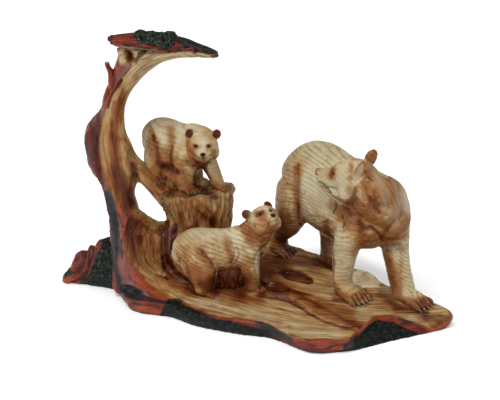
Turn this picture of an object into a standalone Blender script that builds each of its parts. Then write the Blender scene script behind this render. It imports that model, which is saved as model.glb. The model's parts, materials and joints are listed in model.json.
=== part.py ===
"""A resin casting of a bear family on driftwood: a walking mother bear who looks back, a cub on a stump,
a crouching cub, and a tree whose trunk leans out and arches over them. It is one solid, cast in one piece.

Metres, +Z up, underside on z = 0. +X runs along the base towards its tip under the mother, -Y is the front.
"""

import math

import bmesh
import bpy
import numpy as np
from mathutils import Euler, Matrix, Vector

# Driving sizes, in metres
BASE_LENGTH = 0.260
BASE_DEPTH = 0.126
RIM_HEIGHT = 0.010
BACK_RISE = 0.013
TREE_HEIGHT = 0.2055
STUMP_HEIGHT = 0.085
STUMP_WIDTH = 0.057
MOTHER_HEIGHT = 0.099
STUMP_CUB_HEIGHT = 0.051
GROUND_CUB_HEIGHT = 0.048
PAW_SINK = 0.0012

# Each form is drawn in its own small units, so many to its driving size. A bear's height is to its back.
BASE_UNITS_LONG = 260
BASE_UNITS_DEEP = 126
TREE_UNITS = 205.5
STUMP_UNITS_TALL = 85
STUMP_UNITS_WIDE = 57
MOTHER_UNITS = 99
STUMP_CUB_UNITS = 51
GROUND_CUB_UNITS = 48

# How the fused skin is made
VOXEL = 0.0011
SMOOTH_STEPS = 3
TRIANGLES = 9800
CUT_DEPTH = 0.006

# The tree and stump are drawn in an upright plane that is turned this far from the base's length
FACING_TURN = math.radians(30)


def spline(rows, per_span, closed=False):
    """A Catmull-Rom curve through the rows, with per_span samples between each pair."""
    rows = np.asarray(rows, float)
    if closed:
        padded = np.vstack([rows[-1], rows, rows[:2]])
    else:
        padded = np.vstack([2 * rows[0] - rows[1], rows, 2 * rows[-1] - rows[-2]])
    t = np.arange(per_span)[:, None] / per_span
    parts = []
    for a, b, c, d in zip(padded, padded[1:], padded[2:], padded[3:]):
        parts.append(0.5 * (2 * b + (c - a) * t + (2 * a - 5 * b + 4 * c - d) * t**2
                            + (3 * b - a - 3 * c + d) * t**3))
    if not closed:
        parts.append(rows[-1:])
    return np.vstack(parts)


def grid_faces(rings, around):
    """Quads between rings of points, which run one after another."""
    ring = np.arange(rings - 1)[:, None] * around
    here = np.arange(around)[None, :]
    after = (here + 1) % around
    quads = np.stack([ring + here, ring + after, ring + around + after, ring + around + here], -1)
    return quads.reshape(-1, 4).tolist()


def tube(rows, side=(0, 1, 0), around=18, per_span=4, cap=0.8, square=2.0):
    """A closed tube through rows of (x, y, z, half width, half height), with rounded ends.
    The half width lies along side, and square above 2 makes its section boxier."""
    path = spline(rows, per_span)
    path[:, 3:] = np.maximum(path[:, 3:], 0.2)
    centres, radii = path[:, :3], path[:, 3:]
    tangents = np.gradient(centres, axis=0)
    tangents /= np.linalg.norm(tangents, axis=1)[:, None]
    bulge = np.sin(np.linspace(0, math.pi / 2, 5))[1:]
    shrink = np.maximum(np.sqrt(1 - bulge**2), 0.05)
    reach = cap * radii.min(axis=1)
    front = centres[0] - tangents[0] * reach[0] * bulge[::-1, None]
    back = centres[-1] + tangents[-1] * reach[-1] * bulge[:, None]
    centres = np.vstack([front, centres, back])
    radii = np.vstack([radii[0] * shrink[::-1, None], radii, radii[-1] * shrink[:, None]])
    tangents = np.vstack([np.repeat(tangents[:1], 4, 0), tangents, np.repeat(tangents[-1:], 4, 0)])
    sides = np.asarray(side, float) - tangents * (tangents @ np.asarray(side, float))[:, None]
    sides /= np.linalg.norm(sides, axis=1)[:, None]
    ups = np.cross(tangents, sides)
    turn = np.arange(around) * 2 * math.pi / around
    c, s = np.cos(turn), np.sin(turn)
    c, s = np.sign(c) * np.abs(c) ** (2 / square), np.sign(s) * np.abs(s) ** (2 / square)
    points = (centres[:, None] + sides[:, None] * (radii[:, :1] * c)[..., None]
              + ups[:, None] * (radii[:, 1:] * s)[..., None])
    faces = grid_faces(len(points), around)
    last = (len(points) - 1) * around
    faces.append(list(range(around))[::-1])
    faces.append(list(range(last, last + around)))
    return points.reshape(-1, 3), faces


def ball(x, y, z, a, b, c):
    """An ellipsoid as a short tube along X, with half sizes a, b and c."""
    turns = np.linspace(-1.35, 1.35, 9)
    rows = [(x + a * math.sin(t), y, z, b * math.cos(t), c * math.cos(t)) for t in turns]
    return tube(rows, per_span=1, around=14, cap=0.5)


def moved(shell, matrix):
    """The shell's points through a matrix, its faces as they were."""
    points, faces = shell
    m = np.array(matrix)
    return points @ m[:3, :3].T + m[:3, 3], faces


def framing(place, turn, unit, pitch=0.0, roll=0.0):
    """The matrix of a local frame that is drawn in small units, turned and put in place."""
    return (Matrix.Translation(Vector(place)) @ Euler((roll, -pitch, turn), "XYZ").to_matrix().to_4x4()
            @ Matrix.Scale(unit, 4))


# The base

# Its outline, from the right tip round the back to the front, in base units
OUTLINE = [
    (147, 37), (133, 43), (112, 44), (92, 47), (74, 52), (48, 57), (20, 61), (-12, 66), (-48, 61),
    (-82, 48), (-104, 26), (-112, 0), (-104, -26), (-92, -40), (-74, -56), (-60, -60), (-38, -54),
    (-12, -57), (20, -53), (44, -47), (62, -51), (80, -53), (96, -42), (108, -30), (122, -8), (138, 15),
    (146, 27),
]
HUB = (10, 0)
# Scooped hollows in the top: x, y, half length, half width, turn in degrees, depth
HOLLOWS = [(27, 23, 17, 9, -14, 4.0), (21, 1, 14, 9, -12, 4.5), (-76, -47, 12, 6, -8, 6.0)]
# Swellings of the top: x, y, how far they reach each way, height. The first is the bark slope at the trunk's
# foot, the next two the ends of roots, and the last the lump of rock behind the mother's front paw.
SWELLS = [(-86, -29, 30, 24, 10), (-60, -14, 14, 5, 5), (-44, -22, 11, 4, 4), (77, 47, 8, 6, 8)]
# The crease between the front plank and the plank behind it, and how high the step there is
CREASE = [(8, -14), (24, -12), (37, -8), (54, -14), (69, -21), (86, -23), (101, -22)]
STEP = 2.2
# The mossy bank under the right rim: outline angle span in degrees, and how far the rim is drawn in above it
BANK = (-21, 13, 0.15)


def base_point(x, y):
    """Base units to metres."""
    return x * BASE_LENGTH / BASE_UNITS_LONG, y * BASE_DEPTH / BASE_UNITS_DEEP


def crease_side(x, y):
    """How far a point lies behind the crease (positive) or in front of it, and how far along it is."""
    line = spline(CREASE, 6)
    gaps = np.hypot(x[..., None] - line[:, 0], y[..., None] - line[:, 1])
    nearest = gaps.argmin(-1)
    ahead = line[np.minimum(nearest + 1, len(line) - 1)] - line[np.maximum(nearest - 1, 0)]
    off_x, off_y = x - line[nearest, 0], y - line[nearest, 1]
    side = np.sign(ahead[..., 0] * off_y - ahead[..., 1] * off_x)
    return side * gaps.min(-1), nearest / (len(line) - 1)


def top_height(x, y):
    """The height of the base's top at a point in base units, in metres: a slab that rises to the back and
    falls away to the right, with a step along the crease and the hollows scooped out."""
    x, y = np.asarray(x, float), np.asarray(y, float)
    rise = np.clip((y + 55) / 115, 0, 1.05)
    fall = np.clip((x - 20) / 127, 0, 1)
    unit = RIM_HEIGHT / 10
    height = RIM_HEIGHT + BACK_RISE * rise * (1 - 0.75 * fall) - 2.0 * unit * fall**2
    for cx, cy, long, wide, tall in SWELLS:
        height = height + tall * unit * np.exp(-(((x - cx) / long) ** 2 + ((y - cy) / wide) ** 2))
    gap, along = crease_side(x, y)
    fade = np.clip(1 - abs(gap) / 30, 0, 1) * np.clip(along * 4, 0, 1)
    height = height + STEP * unit * np.tanh(gap / 1.6) * fade * (1 - 0.6 * along)
    for cx, cy, long, wide, degrees, depth in HOLLOWS:
        a = math.radians(degrees)
        u = ((x - cx) * math.cos(a) + (y - cy) * math.sin(a)) / long
        v = ((y - cy) * math.cos(a) - (x - cx) * math.sin(a)) / wide
        height = height - depth * unit * np.clip(1 - u**2 - v**2, 0, 1) ** 0.6
    return height


def ground(x, y):
    """The base's top in metres at a place in base units."""
    return float(top_height(x, y))


def base_slab():
    """The slab: rings run in from its outline over the top, and down its side to below the floor."""
    edge = spline(OUTLINE, 5, closed=True)
    around = len(edge)
    hub = np.array(HUB, float)
    spokes = edge - hub
    angle = np.degrees(np.arctan2(spokes[:, 1], spokes[:, 0]))
    middle, half = (BANK[0] + BANK[1]) / 2, (BANK[1] - BANK[0]) / 2
    bank = BANK[2] * np.clip(1 - ((angle - middle) / half) ** 2, 0, 1) ** 0.7
    rings = []
    for share in (0.02, 0.15, 0.3, 0.42, 0.54, 0.65, 0.75, 0.84, 0.91, 0.96, 0.985):
        flat = hub + spokes * (share * (1 - bank))[:, None]
        rings.append(np.column_stack([flat, top_height(*flat.T)]))
    rim = top_height(*edge.T)
    for share, level, drawn in ((1, 0.86, 1), (1.004, 0.6, 0.85), (0.995, 0.3, 0.3), (0.975, 0, 0), (0.975, -0.6, 0)):
        flat = hub + spokes * (share - bank * drawn)[:, None]
        rings.append(np.column_stack([flat, rim * level]))
    points = np.vstack(rings)
    points[:, 0], points[:, 1] = base_point(points[:, 0], points[:, 1])
    faces = grid_faces(len(rings), around)
    last = (len(rings) - 1) * around
    faces.append(list(range(around))[::-1])
    faces.append(list(range(last, last + around)))
    return points, [face[::-1] for face in faces]


# The tree and the stump, drawn in their facing plane: x to the right, y away, z up. Rows run along each tube
# and hold x, y, z, the half width in the plane and the half depth across it.

TREE_FOOT = (-80, 20)
STUMP_FOOT = (-36, 24)
TRUNK = [
    (-80, 20, -4, 22, 22), (-84, 20, 14, 19, 20), (-89, 19, 32, 16, 17), (-92.5, 18, 48, 13.5, 14),
    (-93.5, 18, 63, 12, 12.5), (-96, 18, 80, 12, 11.5), (-97, 18, 95, 13.5, 11), (-99, 18, 112, 14, 10.5),
    (-101, 18, 126, 10.5, 10), (-100.5, 18, 138, 8.5, 9.5), (-98.5, 18, 150, 7.8, 9), (-94, 18, 162, 8, 9.5),
    (-86.5, 18, 173, 8.5, 11), (-77, 18, 182, 8.5, 13), (-64, 18, 188, 6.5, 15), (-50, 18, 190, 5, 14),
    (-37, 18, 189, 3.6, 12), (-26, 18, 187, 2.6, 8),
]
BARK_WING = [
    (-104, 20, 153, 2.2, 6), (-108, 22, 144, 3.4, 8), (-113, 23, 136, 4.8, 9), (-116, 23, 127, 6, 10),
    (-116, 23, 115, 6.5, 11), (-112.5, 23, 102, 6.5, 11), (-106, 22, 90, 5.5, 11), (-103, 21, 76, 5, 11),
    (-100, 20, 60, 5.5, 13), (-98, 19, 44, 7, 14), (-97, 19, 28, 8, 14), (-95, 19, 8, 9, 15),
]
CANOPY = [(-99, 18, 197, 3.2, 8), (-91, 18, 196.5, 4.2, 12), (-80, 19, 196, 5, 16), (-68, 19, 196, 5, 17),
          (-54, 19, 195, 4.6, 15), (-42, 18, 192.5, 3.6, 12), (-32, 18, 190, 2.8, 9), (-25, 18, 188, 2, 6)]
CROWN = [(-97, 18, 158, 5.5, 8), (-94, 18, 168, 6, 9), (-90, 18, 177, 7.5, 10.5), (-86, 18, 186, 9.5, 12),
         (-84, 18, 193, 11, 13)]
STUB = [(-100, 16, 157, 4.5, 6), (-101, 15, 168, 3.2, 5), (-102, 15, 179, 2, 3.4)]
FOLIAGE = [(-74, 15, 201.5, 8, 11, 4), (-60, 16, 200, 9, 11, 4.4), (-67, 24, 200, 11, 9, 4)]
PERCH = [(-66, 26, 88, 9, 9), (-58, 29, 91, 9, 9), (-50, 31, 88, 9, 8), (-44, 32, 82, 7, 7)]
BRIDGE = [(-96, 18, 118, 11, 10), (-88, 18, 106, 11, 10), (-79, 20, 97, 8.5, 10.5), (-69, 22, 85, 9, 12),
          (-59, 24, 72, 10.5, 14), (-54, 24, 60, 11, 14)]
WEB = [(-92, 20, 22, 18, 12), (-82, 22, 33, 18, 9), (-72, 24, 38, 17, 9), (-56, 25, 36, 18, 12)]
ROOT_MOUND = [(-96, 32, 16, 24, 16), (-108, 36, 15, 22, 16), (-118, 39, 12, 18, 15), (-128, 41, 9, 15, 13),
              (-137, 40, 6, 10, 9), (-144, 38, 3.5, 5, 5)]
STUMP = [(-36, 24, -4, 27, 23), (-36, 24, 12, 25, 21), (-36, 24, 30, 22.5, 18), (-37, 24, 46, 22.5, 16),
         (-38, 24, 60, 24.5, 16), (-39, 24, 72, 27.5, 17.5), (-40, 24, 80, 28.5, 17.5)]


def facing(foot, wide, tall):
    """The frame of the facing plane, with its drawing scaled about the foot, which keeps its place on the base."""
    x = foot[0] * math.cos(FACING_TURN) - foot[1] * math.sin(FACING_TURN)
    y = foot[0] * math.sin(FACING_TURN) + foot[1] * math.cos(FACING_TURN)
    return (framing((*base_point(x, y), 0), FACING_TURN, 1) @ Matrix.Diagonal((wide, wide, tall, 1))
            @ Matrix.Translation((-foot[0], -foot[1], 0)))


def in_plane(rows, frame, **more):
    """A tube from rows drawn in the facing plane."""
    swapped = [(x, y, z, deep, wide) for x, y, z, wide, deep in rows]
    return moved(tube(swapped, side=(0, 1, 0), **more), frame)


def lifted(rows, first, last):
    """The rows raised by first at their start and last at their end, and evenly in between."""
    rows = np.array(rows, float)
    rows[:, 2] += np.linspace(first, last, len(rows))
    return rows


def tree_shells():
    """The trunk with its bark wing, the crown and canopy, the bridge and web to the stump, and the root."""
    unit = TREE_HEIGHT / TREE_UNITS
    frame = facing(TREE_FOOT, unit, unit)
    gain = STUMP_HEIGHT / unit - STUMP_UNITS_TALL
    rows = [TRUNK, BARK_WING, CROWN, STUB, WEB, ROOT_MOUND, lifted(BRIDGE, 0, gain), lifted(PERCH, gain, gain)]
    shells = [in_plane(each, frame) for each in rows]
    shells.append(in_plane(CANOPY, frame, square=2.6))
    return shells + [moved(ball(*row), frame) for row in FOLIAGE]


def stump_shells():
    """The stump, cut off almost flat at the top."""
    frame = facing(STUMP_FOOT, STUMP_WIDTH / STUMP_UNITS_WIDE, STUMP_HEIGHT / STUMP_UNITS_TALL)
    return [in_plane(STUMP, frame, cap=0.22, square=2.3)]


# The bears. x is forward, y to the bear's left, z up from the ground under its middle.

def head_shells(frame, muzzle, ears_out, broad):
    """A bear's head in its own frame, x to the nose and z to the crown, in units of a 24-unit-wide skull.
    The muzzle and broad are shares of its length and width, and ears_out is where the ears stand."""
    skull = [(-10, 0, 0, 7, 7.5), (-5, 0, 0.5, 11, 10.5), (1, 0, 0.3, 12, 11.3), (6, 0, -1.2, 10, 9.6),
             (9.5 * muzzle, 0, -3, 7, 7.2), (13 * muzzle, 0, -4.2, 5.2, 5.3), (17 * muzzle, 0, -4.8, 4.3, 4.1)]
    shells = [tube(skull, per_span=4, around=20, cap=0.6)]
    shells += [ball(-1, side * 7, -5, 7, 5.5, 6) for side in (-1, 1)]
    shells.append(ball(19.4 * muzzle, 0, -3.3, 1.4, 2.3, 1.6))
    for side in (-1, 1):
        ear = framing((-2.5, side * ears_out, 10.6), side * math.radians(30), 1, roll=-side * math.radians(18))
        shells.append(moved(ball(0, 0, 0, 1.9, 3.9, 4.6), ear))
        shells.append(ball(8.2, side * 4.6, 1.7, 1.3, 1.5, 1.3))
    wide = frame @ Matrix.Diagonal((1, broad, 1, 1))
    return [moved(shell, wide) for shell in shells]


def paw_shells(frame, size):
    """A flat paw that points along x, with four toes."""
    pad = [(-8, 0, 4.5, 6.5, 4.6), (-1, 0, 4.2, 7.8, 5), (6, 0, 3.2, 8, 3.9)]
    shells = [tube(np.array(pad) * size, per_span=3, around=16, cap=0.7)]
    for spread in (-5.4, -1.9, 1.9, 5.4):
        toe = np.array([(4, spread, 3, 2.4, 2.6), (9.5 - abs(spread) * 0.25, spread * 1.05, 2.2, 2.1, 2.1)])
        shells.append(tube(toe * size, per_span=2, around=10, cap=0.9))
    return [moved(shell, frame) for shell in shells]


def bear(height, units, place, turn, level, body, legs, neck, head):
    """One bear. Each leg is (paw x, paw y, paw turn, paw size, rows); its rows run from the hip or shoulder
    down, and the lower they are the more they follow the ground under their own paw."""
    unit = height / units
    x, y = base_point(*place)
    frame = framing((x, y, level(*place)), turn, unit)
    back = frame.inverted()
    shells = [moved(tube(body, around=24, per_span=4, cap=0.7), frame)]
    shells.append(moved(tube(neck, around=20, per_span=4, cap=0.5), frame))
    for paw_x, paw_y, paw_turn, size, rows in legs:
        spot = frame @ Vector((paw_x, paw_y, 0))
        across = (spot.x * BASE_UNITS_LONG / BASE_LENGTH, spot.y * BASE_UNITS_DEEP / BASE_DEPTH)
        spot.z = level(*across) - PAW_SINK
        drop = (back @ spot).z
        rows = np.array(rows, float)
        high, low = rows[0, 2], rows[-1, 2]
        rows[:, 2] += drop * (high - rows[:, 2]) / (high - low)
        shells.append(moved(tube(rows, around=16, per_span=4, cap=0.6), frame))
        paw = frame @ framing((paw_x, paw_y, drop), math.radians(paw_turn), 1)
        shells += paw_shells(paw, size)
    at, yaw, pitch, roll, size, muzzle, ears_out, broad = head
    pose = frame @ framing(at, math.radians(yaw), size, math.radians(pitch), math.radians(roll))
    return shells + head_shells(pose, muzzle, ears_out, broad)


def mother_shells():
    """The mother walks to the right and looks back over her right shoulder."""
    body = [(-56, 1, 58, 10, 13), (-50, 1, 65, 18, 22), (-36, 1, 68, 24, 31), (-18, 0, 64, 25, 33),
            (0, 0, 60, 25, 31), (18, 0, 60, 25, 30), (32, 1, 60, 23, 27), (42, 2, 58, 17, 21), (48, 2, 56, 10, 13)]
    legs = [
        (25, -19, -4, 1.15, [(22, -13, 60, 12, 15), (19, -17, 46, 10.5, 11.5), (16, -19, 30, 8.8, 9),
                             (15, -19.5, 14, 7.2, 7.4), (17, -19, 6, 7.5, 8)]),
        (60, 15, 4, 1.15, [(34, 11, 58, 13, 14), (38, 12, 45, 11, 12), (43, 12, 29, 9.3, 9.6),
                           (47.5, 14, 13, 8.8, 8.8), (50, 14.5, 6, 8.5, 9)]),
        (-58, -7, 0, 1.1, [(-42, -12, 60, 14, 19), (-45, -14, 46, 12.5, 16), (-51, -12, 30, 9.5, 11),
                           (-61, -9, 17, 7.3, 7.5), (-62, -8, 7, 7.5, 8)]),
        (-25, 4, 0, 1.05, [(-34, 11, 60, 14, 18), (-32, 9.5, 44, 12, 15), (-31, 8, 28, 9, 10),
                           (-32, 6, 14, 7.3, 8), (-31, 5, 6, 7.5, 8)]),
    ]
    neck = [(22, 0, 66, 21, 21), (34, -2, 70, 19.5, 20), (39, -10, 75, 17, 18), (37, -18, 81, 15, 17),
            (30, -21, 86, 13.5, 15)]
    head = ((25.5, -20, 88), -151, 17, 9, 1.35, 1.15, 8, 1.0)
    return bear(MOTHER_HEIGHT, MOTHER_UNITS, (61, 40), math.radians(-19), ground, body, legs, neck, head)


def stump_top(x, y):
    """The level that the upper cub stands on: the flat of the stump, rising to the left along the bridge."""
    across = x * math.cos(FACING_TURN) + y * math.sin(FACING_TURN)
    rise = min(max((-56 - across) / 14, 0), 1)
    return STUMP_HEIGHT * (1 + 0.07 * rise)


def stump_cub_shells():
    """The cub on the stump leans forward on its front paws and looks at the viewer."""
    body = [(-38, 0, 27, 7, 9), (-33, 0, 31, 12, 15), (-25, 0, 33.5, 14.5, 17.5), (-14, 0, 32.5, 14, 16.5),
            (-4, 0, 33, 13.5, 16), (4, 0, 35, 13, 15), (11, 0, 34, 10, 12), (15, 0, 32, 6, 8)]
    legs = [
        (3, -8, -20, 0.62, [(6, -7, 32, 8, 9), (4, -9, 21, 6.8, 7.5), (2, -9, 12, 6, 6.4), (0, -8, 4, 5, 5.4)]),
        (22, 11.5, 0, 0.62, [(7, 6, 33, 7.5, 8), (12, 8, 22, 5.6, 6), (17, 10, 12, 4.5, 4.8), (19, 11, 4, 4.3, 4.6)]),
        (-22, -14, -30, 0.62, [(-25, -7, 30, 8, 13), (-25, -11, 20, 7, 9), (-25, -14, 12, 5.6, 6),
                               (-25, -14, 5, 4.8, 5.2)]),
        (-3, 12, 0, 0.62, [(-16, 8, 30, 8, 12), (-12, 10, 20, 7, 9), (-7, 12, 11, 5.5, 6), (-5, 12, 4, 4.6, 5)]),
    ]
    neck = [(4, 0, 36, 12, 13), (10, -2, 37.5, 11.5, 12), (13, -4, 37.5, 10.5, 11)]
    head = ((14, -6, 36), -56, 0, 0, 0.87, 0.84, 10.6, 1.12)
    return bear(STUMP_CUB_HEIGHT, STUMP_CUB_UNITS, (-47.7, -3.3), math.radians(-5), stump_top, body, legs, neck, head)


def ground_cub_shells():
    """The cub below crouches on its haunches and lifts its head."""
    body = [(-37, 1, 20, 7, 10), (-32, 1, 23.5, 13, 16), (-24, 0, 26, 15, 19), (-12, 0, 27.5, 14, 17.5),
            (0, 0, 29, 13.5, 16), (9, 0, 31.5, 13, 16.5), (17, 0, 33, 11.5, 14), (22, 0, 33, 7, 9)]
    legs = [
        (20, -9, 0, 0.6, [(14, -8, 31, 7.5, 9), (15, -9, 21, 6.5, 7.3), (16.5, -9.5, 12, 5.4, 5.9),
                          (17.5, -9.5, 4, 4.7, 5)]),
        (22, 7, 0, 0.6, [(15, 8, 31, 7, 8), (17, 8, 20, 5.6, 6), (19, 7, 11, 4.6, 5), (20, 7, 4, 4.4, 4.6)]),
        (-14, -13.5, -30, 0.68, [(-22, -10, 24, 9, 15), (-20, -12.5, 17, 8.5, 12.5), (-18.5, -13, 10, 7, 8.5),
                                 (-18.5, -13, 4, 5.6, 6.5)]),
        (-14, 12, 20, 0.66, [(-22, 9, 24, 9, 15), (-20, 11, 17, 8.5, 12.5), (-18, 12, 10, 7, 8.5), (-18, 12, 4, 5.5, 6.5)]),
    ]
    neck = [(13, 0, 36, 12, 13), (20, -1, 44, 11, 12), (23, -2, 50, 10.5, 11)]
    head = ((25, -2, 54), -55, 35, 8, 0.92, 0.84, 10.4, 1.1)
    return bear(GROUND_CUB_HEIGHT, GROUND_CUB_UNITS, (-11.5, -10), math.radians(27), ground, body, legs, neck, head)


def resin():
    """Painted resin that looks like carved pale wood."""
    material = bpy.data.materials.new("painted_resin")
    material.use_nodes = True
    shader = material.node_tree.nodes["Principled BSDF"]
    shader.inputs["Base Color"].default_value = (0.52, 0.34, 0.17, 1)
    shader.inputs["Roughness"].default_value = 0.42
    shader.inputs["Metallic"].default_value = 0.0
    return material


def joined(name, shells):
    """All the shells in one mesh object."""
    points = np.vstack([shell[0] for shell in shells])
    starts = np.cumsum([0] + [len(shell[0]) for shell in shells[:-1]])
    faces = [[int(corner + start) for corner in face] for start, shell in zip(starts, shells) for face in shell[1]]
    mesh = bpy.data.meshes.new(name)
    mesh.from_pydata(points.tolist(), [], faces)
    mesh.update()
    thing = bpy.data.objects.new(name, mesh)
    bpy.context.scene.collection.objects.link(thing)
    return thing


def floor_cutter():
    """A slab that trims everything below the floor, so the underside is one flat face."""
    mesh = bpy.data.meshes.new("floor_cutter")
    shape = bmesh.new()
    bmesh.ops.create_cube(shape, size=1)
    wide = 2 * max(BASE_LENGTH, BASE_DEPTH)
    bmesh.ops.scale(shape, verts=shape.verts, vec=(wide, wide, 10 * CUT_DEPTH))
    bmesh.ops.translate(shape, verts=shape.verts, vec=(0, 0, -5 * CUT_DEPTH))
    shape.to_mesh(mesh)
    shape.free()
    cutter = bpy.data.objects.new("floor_cutter", mesh)
    bpy.context.scene.collection.objects.link(cutter)
    cutter.hide_render = True
    cutter.display_type = "WIRE"
    return cutter


def skin(thing, cutter):
    """Fuses the shells into one skin, softens it, thins it out and cuts it flat underneath."""
    fuse = thing.modifiers.new("fuse", "REMESH")
    fuse.mode = "VOXEL"
    fuse.voxel_size = VOXEL
    fuse.use_smooth_shade = True
    soften = thing.modifiers.new("soften", "SMOOTH")
    soften.factor = 0.5
    soften.iterations = SMOOTH_STEPS
    graph = bpy.context.evaluated_depsgraph_get()
    count = len(thing.evaluated_get(graph).to_mesh().polygons) * 2
    thin = thing.modifiers.new("thin", "DECIMATE")
    thin.ratio = TRIANGLES / count
    trim = thing.modifiers.new("trim", "BOOLEAN")
    trim.operation = "DIFFERENCE"
    trim.object = cutter


def main():
    for thing in list(bpy.data.objects):
        bpy.data.objects.remove(thing)
    shells = [base_slab()] + tree_shells() + stump_shells() + mother_shells()
    shells += stump_cub_shells() + ground_cub_shells()
    statue = joined("bear_family_statue", shells)
    statue.data.materials.append(resin())
    skin(statue, floor_cutter())


main()
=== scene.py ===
import json
import math

import bpy
import numpy as np
from bpy.props import FloatProperty, FloatVectorProperty, PointerProperty
from mathutils import Euler, Matrix, Vector

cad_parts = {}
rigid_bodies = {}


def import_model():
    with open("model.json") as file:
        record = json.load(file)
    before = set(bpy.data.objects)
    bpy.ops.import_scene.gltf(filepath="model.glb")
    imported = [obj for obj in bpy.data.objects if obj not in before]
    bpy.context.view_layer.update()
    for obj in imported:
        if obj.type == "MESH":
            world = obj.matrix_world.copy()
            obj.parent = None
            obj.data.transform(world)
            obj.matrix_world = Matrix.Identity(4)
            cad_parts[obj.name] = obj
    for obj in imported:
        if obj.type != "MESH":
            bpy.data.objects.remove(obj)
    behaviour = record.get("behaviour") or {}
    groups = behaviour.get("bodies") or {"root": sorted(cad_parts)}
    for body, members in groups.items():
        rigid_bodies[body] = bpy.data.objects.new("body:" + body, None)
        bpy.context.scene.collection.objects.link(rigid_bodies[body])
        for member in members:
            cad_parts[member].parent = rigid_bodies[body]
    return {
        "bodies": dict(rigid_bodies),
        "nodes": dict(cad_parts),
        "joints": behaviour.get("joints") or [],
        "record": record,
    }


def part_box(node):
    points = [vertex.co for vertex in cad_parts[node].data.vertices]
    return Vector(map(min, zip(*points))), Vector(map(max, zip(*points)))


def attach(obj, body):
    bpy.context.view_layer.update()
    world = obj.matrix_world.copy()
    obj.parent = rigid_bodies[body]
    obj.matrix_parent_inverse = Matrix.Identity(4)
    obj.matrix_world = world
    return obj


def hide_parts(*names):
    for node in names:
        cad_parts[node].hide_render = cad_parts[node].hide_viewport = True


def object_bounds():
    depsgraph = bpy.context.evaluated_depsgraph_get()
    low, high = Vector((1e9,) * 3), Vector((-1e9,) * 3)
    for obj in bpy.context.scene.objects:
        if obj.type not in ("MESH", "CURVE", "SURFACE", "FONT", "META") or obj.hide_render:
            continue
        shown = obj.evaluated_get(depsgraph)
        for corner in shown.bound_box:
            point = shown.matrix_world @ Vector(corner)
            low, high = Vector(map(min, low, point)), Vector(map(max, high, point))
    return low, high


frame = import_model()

bl_info = {
    "name": "Bear Family Casting",
    "version": (1, 0, 0),
    "blender": (4, 5, 0),
    "location": "View3D > Sidebar > Bears",
    "description": "A resin casting of a bear family on driftwood, carved and painted like wood",
    "category": "Object",
}

CAST = "bear_family_statue"
LOW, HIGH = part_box(CAST)
CAD_BOX = [list(corner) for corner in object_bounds()]
# The statue is drawn in units of about a millimetre, and its length in them ties the drawing to the frame
LENGTH_UNITS = 296.5
UNIT = (HIGH.x - LOW.x) / LENGTH_UNITS

# The viewpoint, in drawing units, and the photograph's frame, in pixels
VIEW_TURN = 30
AZIMUTH = math.radians(VIEW_TURN)
ELEVATION = math.radians(20)
DISTANCE = 868
TARGET = np.array([0, 0, 82])
LENS = 85
SENSOR = 36
PHOTO = (500, 400)
RIGHT = np.array([math.cos(AZIMUTH), math.sin(AZIMUTH), 0])
BACK = np.array([math.sin(AZIMUTH) * math.cos(ELEVATION), -math.cos(AZIMUTH) * math.cos(ELEVATION),
                 math.sin(ELEVATION)])
UP = np.cross(BACK, RIGHT)
EYE = TARGET + DISTANCE * BACK


def drawn(name, description, default, least=0.0):
    """A size setting in drawing units."""
    description += ", in drawing units"
    return FloatProperty(name=name, description=description, default=default, min=least)


class CastSizes(bpy.types.PropertyGroup):
    """How finely the cast is modelled and how deep its carving is."""

    mother_step: drawn("Mother step", "Mesh size on the mother", 0.73, 0.3)
    cub_step: drawn("Cub step", "Mesh size on the cubs", 0.47, 0.2)
    wood_step: drawn("Wood step", "Mesh size on the tree and stump", 0.8, 0.3)
    base_step: drawn("Base step", "Mesh size on the base", 0.9, 0.4)
    moss_step: drawn("Moss step", "Mesh size on the canopy and root", 0.55, 0.3)
    moss_depth: drawn("Moss depth", "How far moss stands proud", 0.9)
    bark_depth: drawn("Bark depth", "How far bark stands over the wood", 0.8)
    floor_width: FloatProperty(name="Floor", description="Width of the floor", default=8, min=1,
                               subtype="DISTANCE", unit="LENGTH")


def colour(name, description, default):
    """A colour setting, linear red, green and blue."""
    return FloatVectorProperty(name=name, description=description, default=default, size=3, min=0, max=1,
                               subtype="COLOR")


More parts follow.
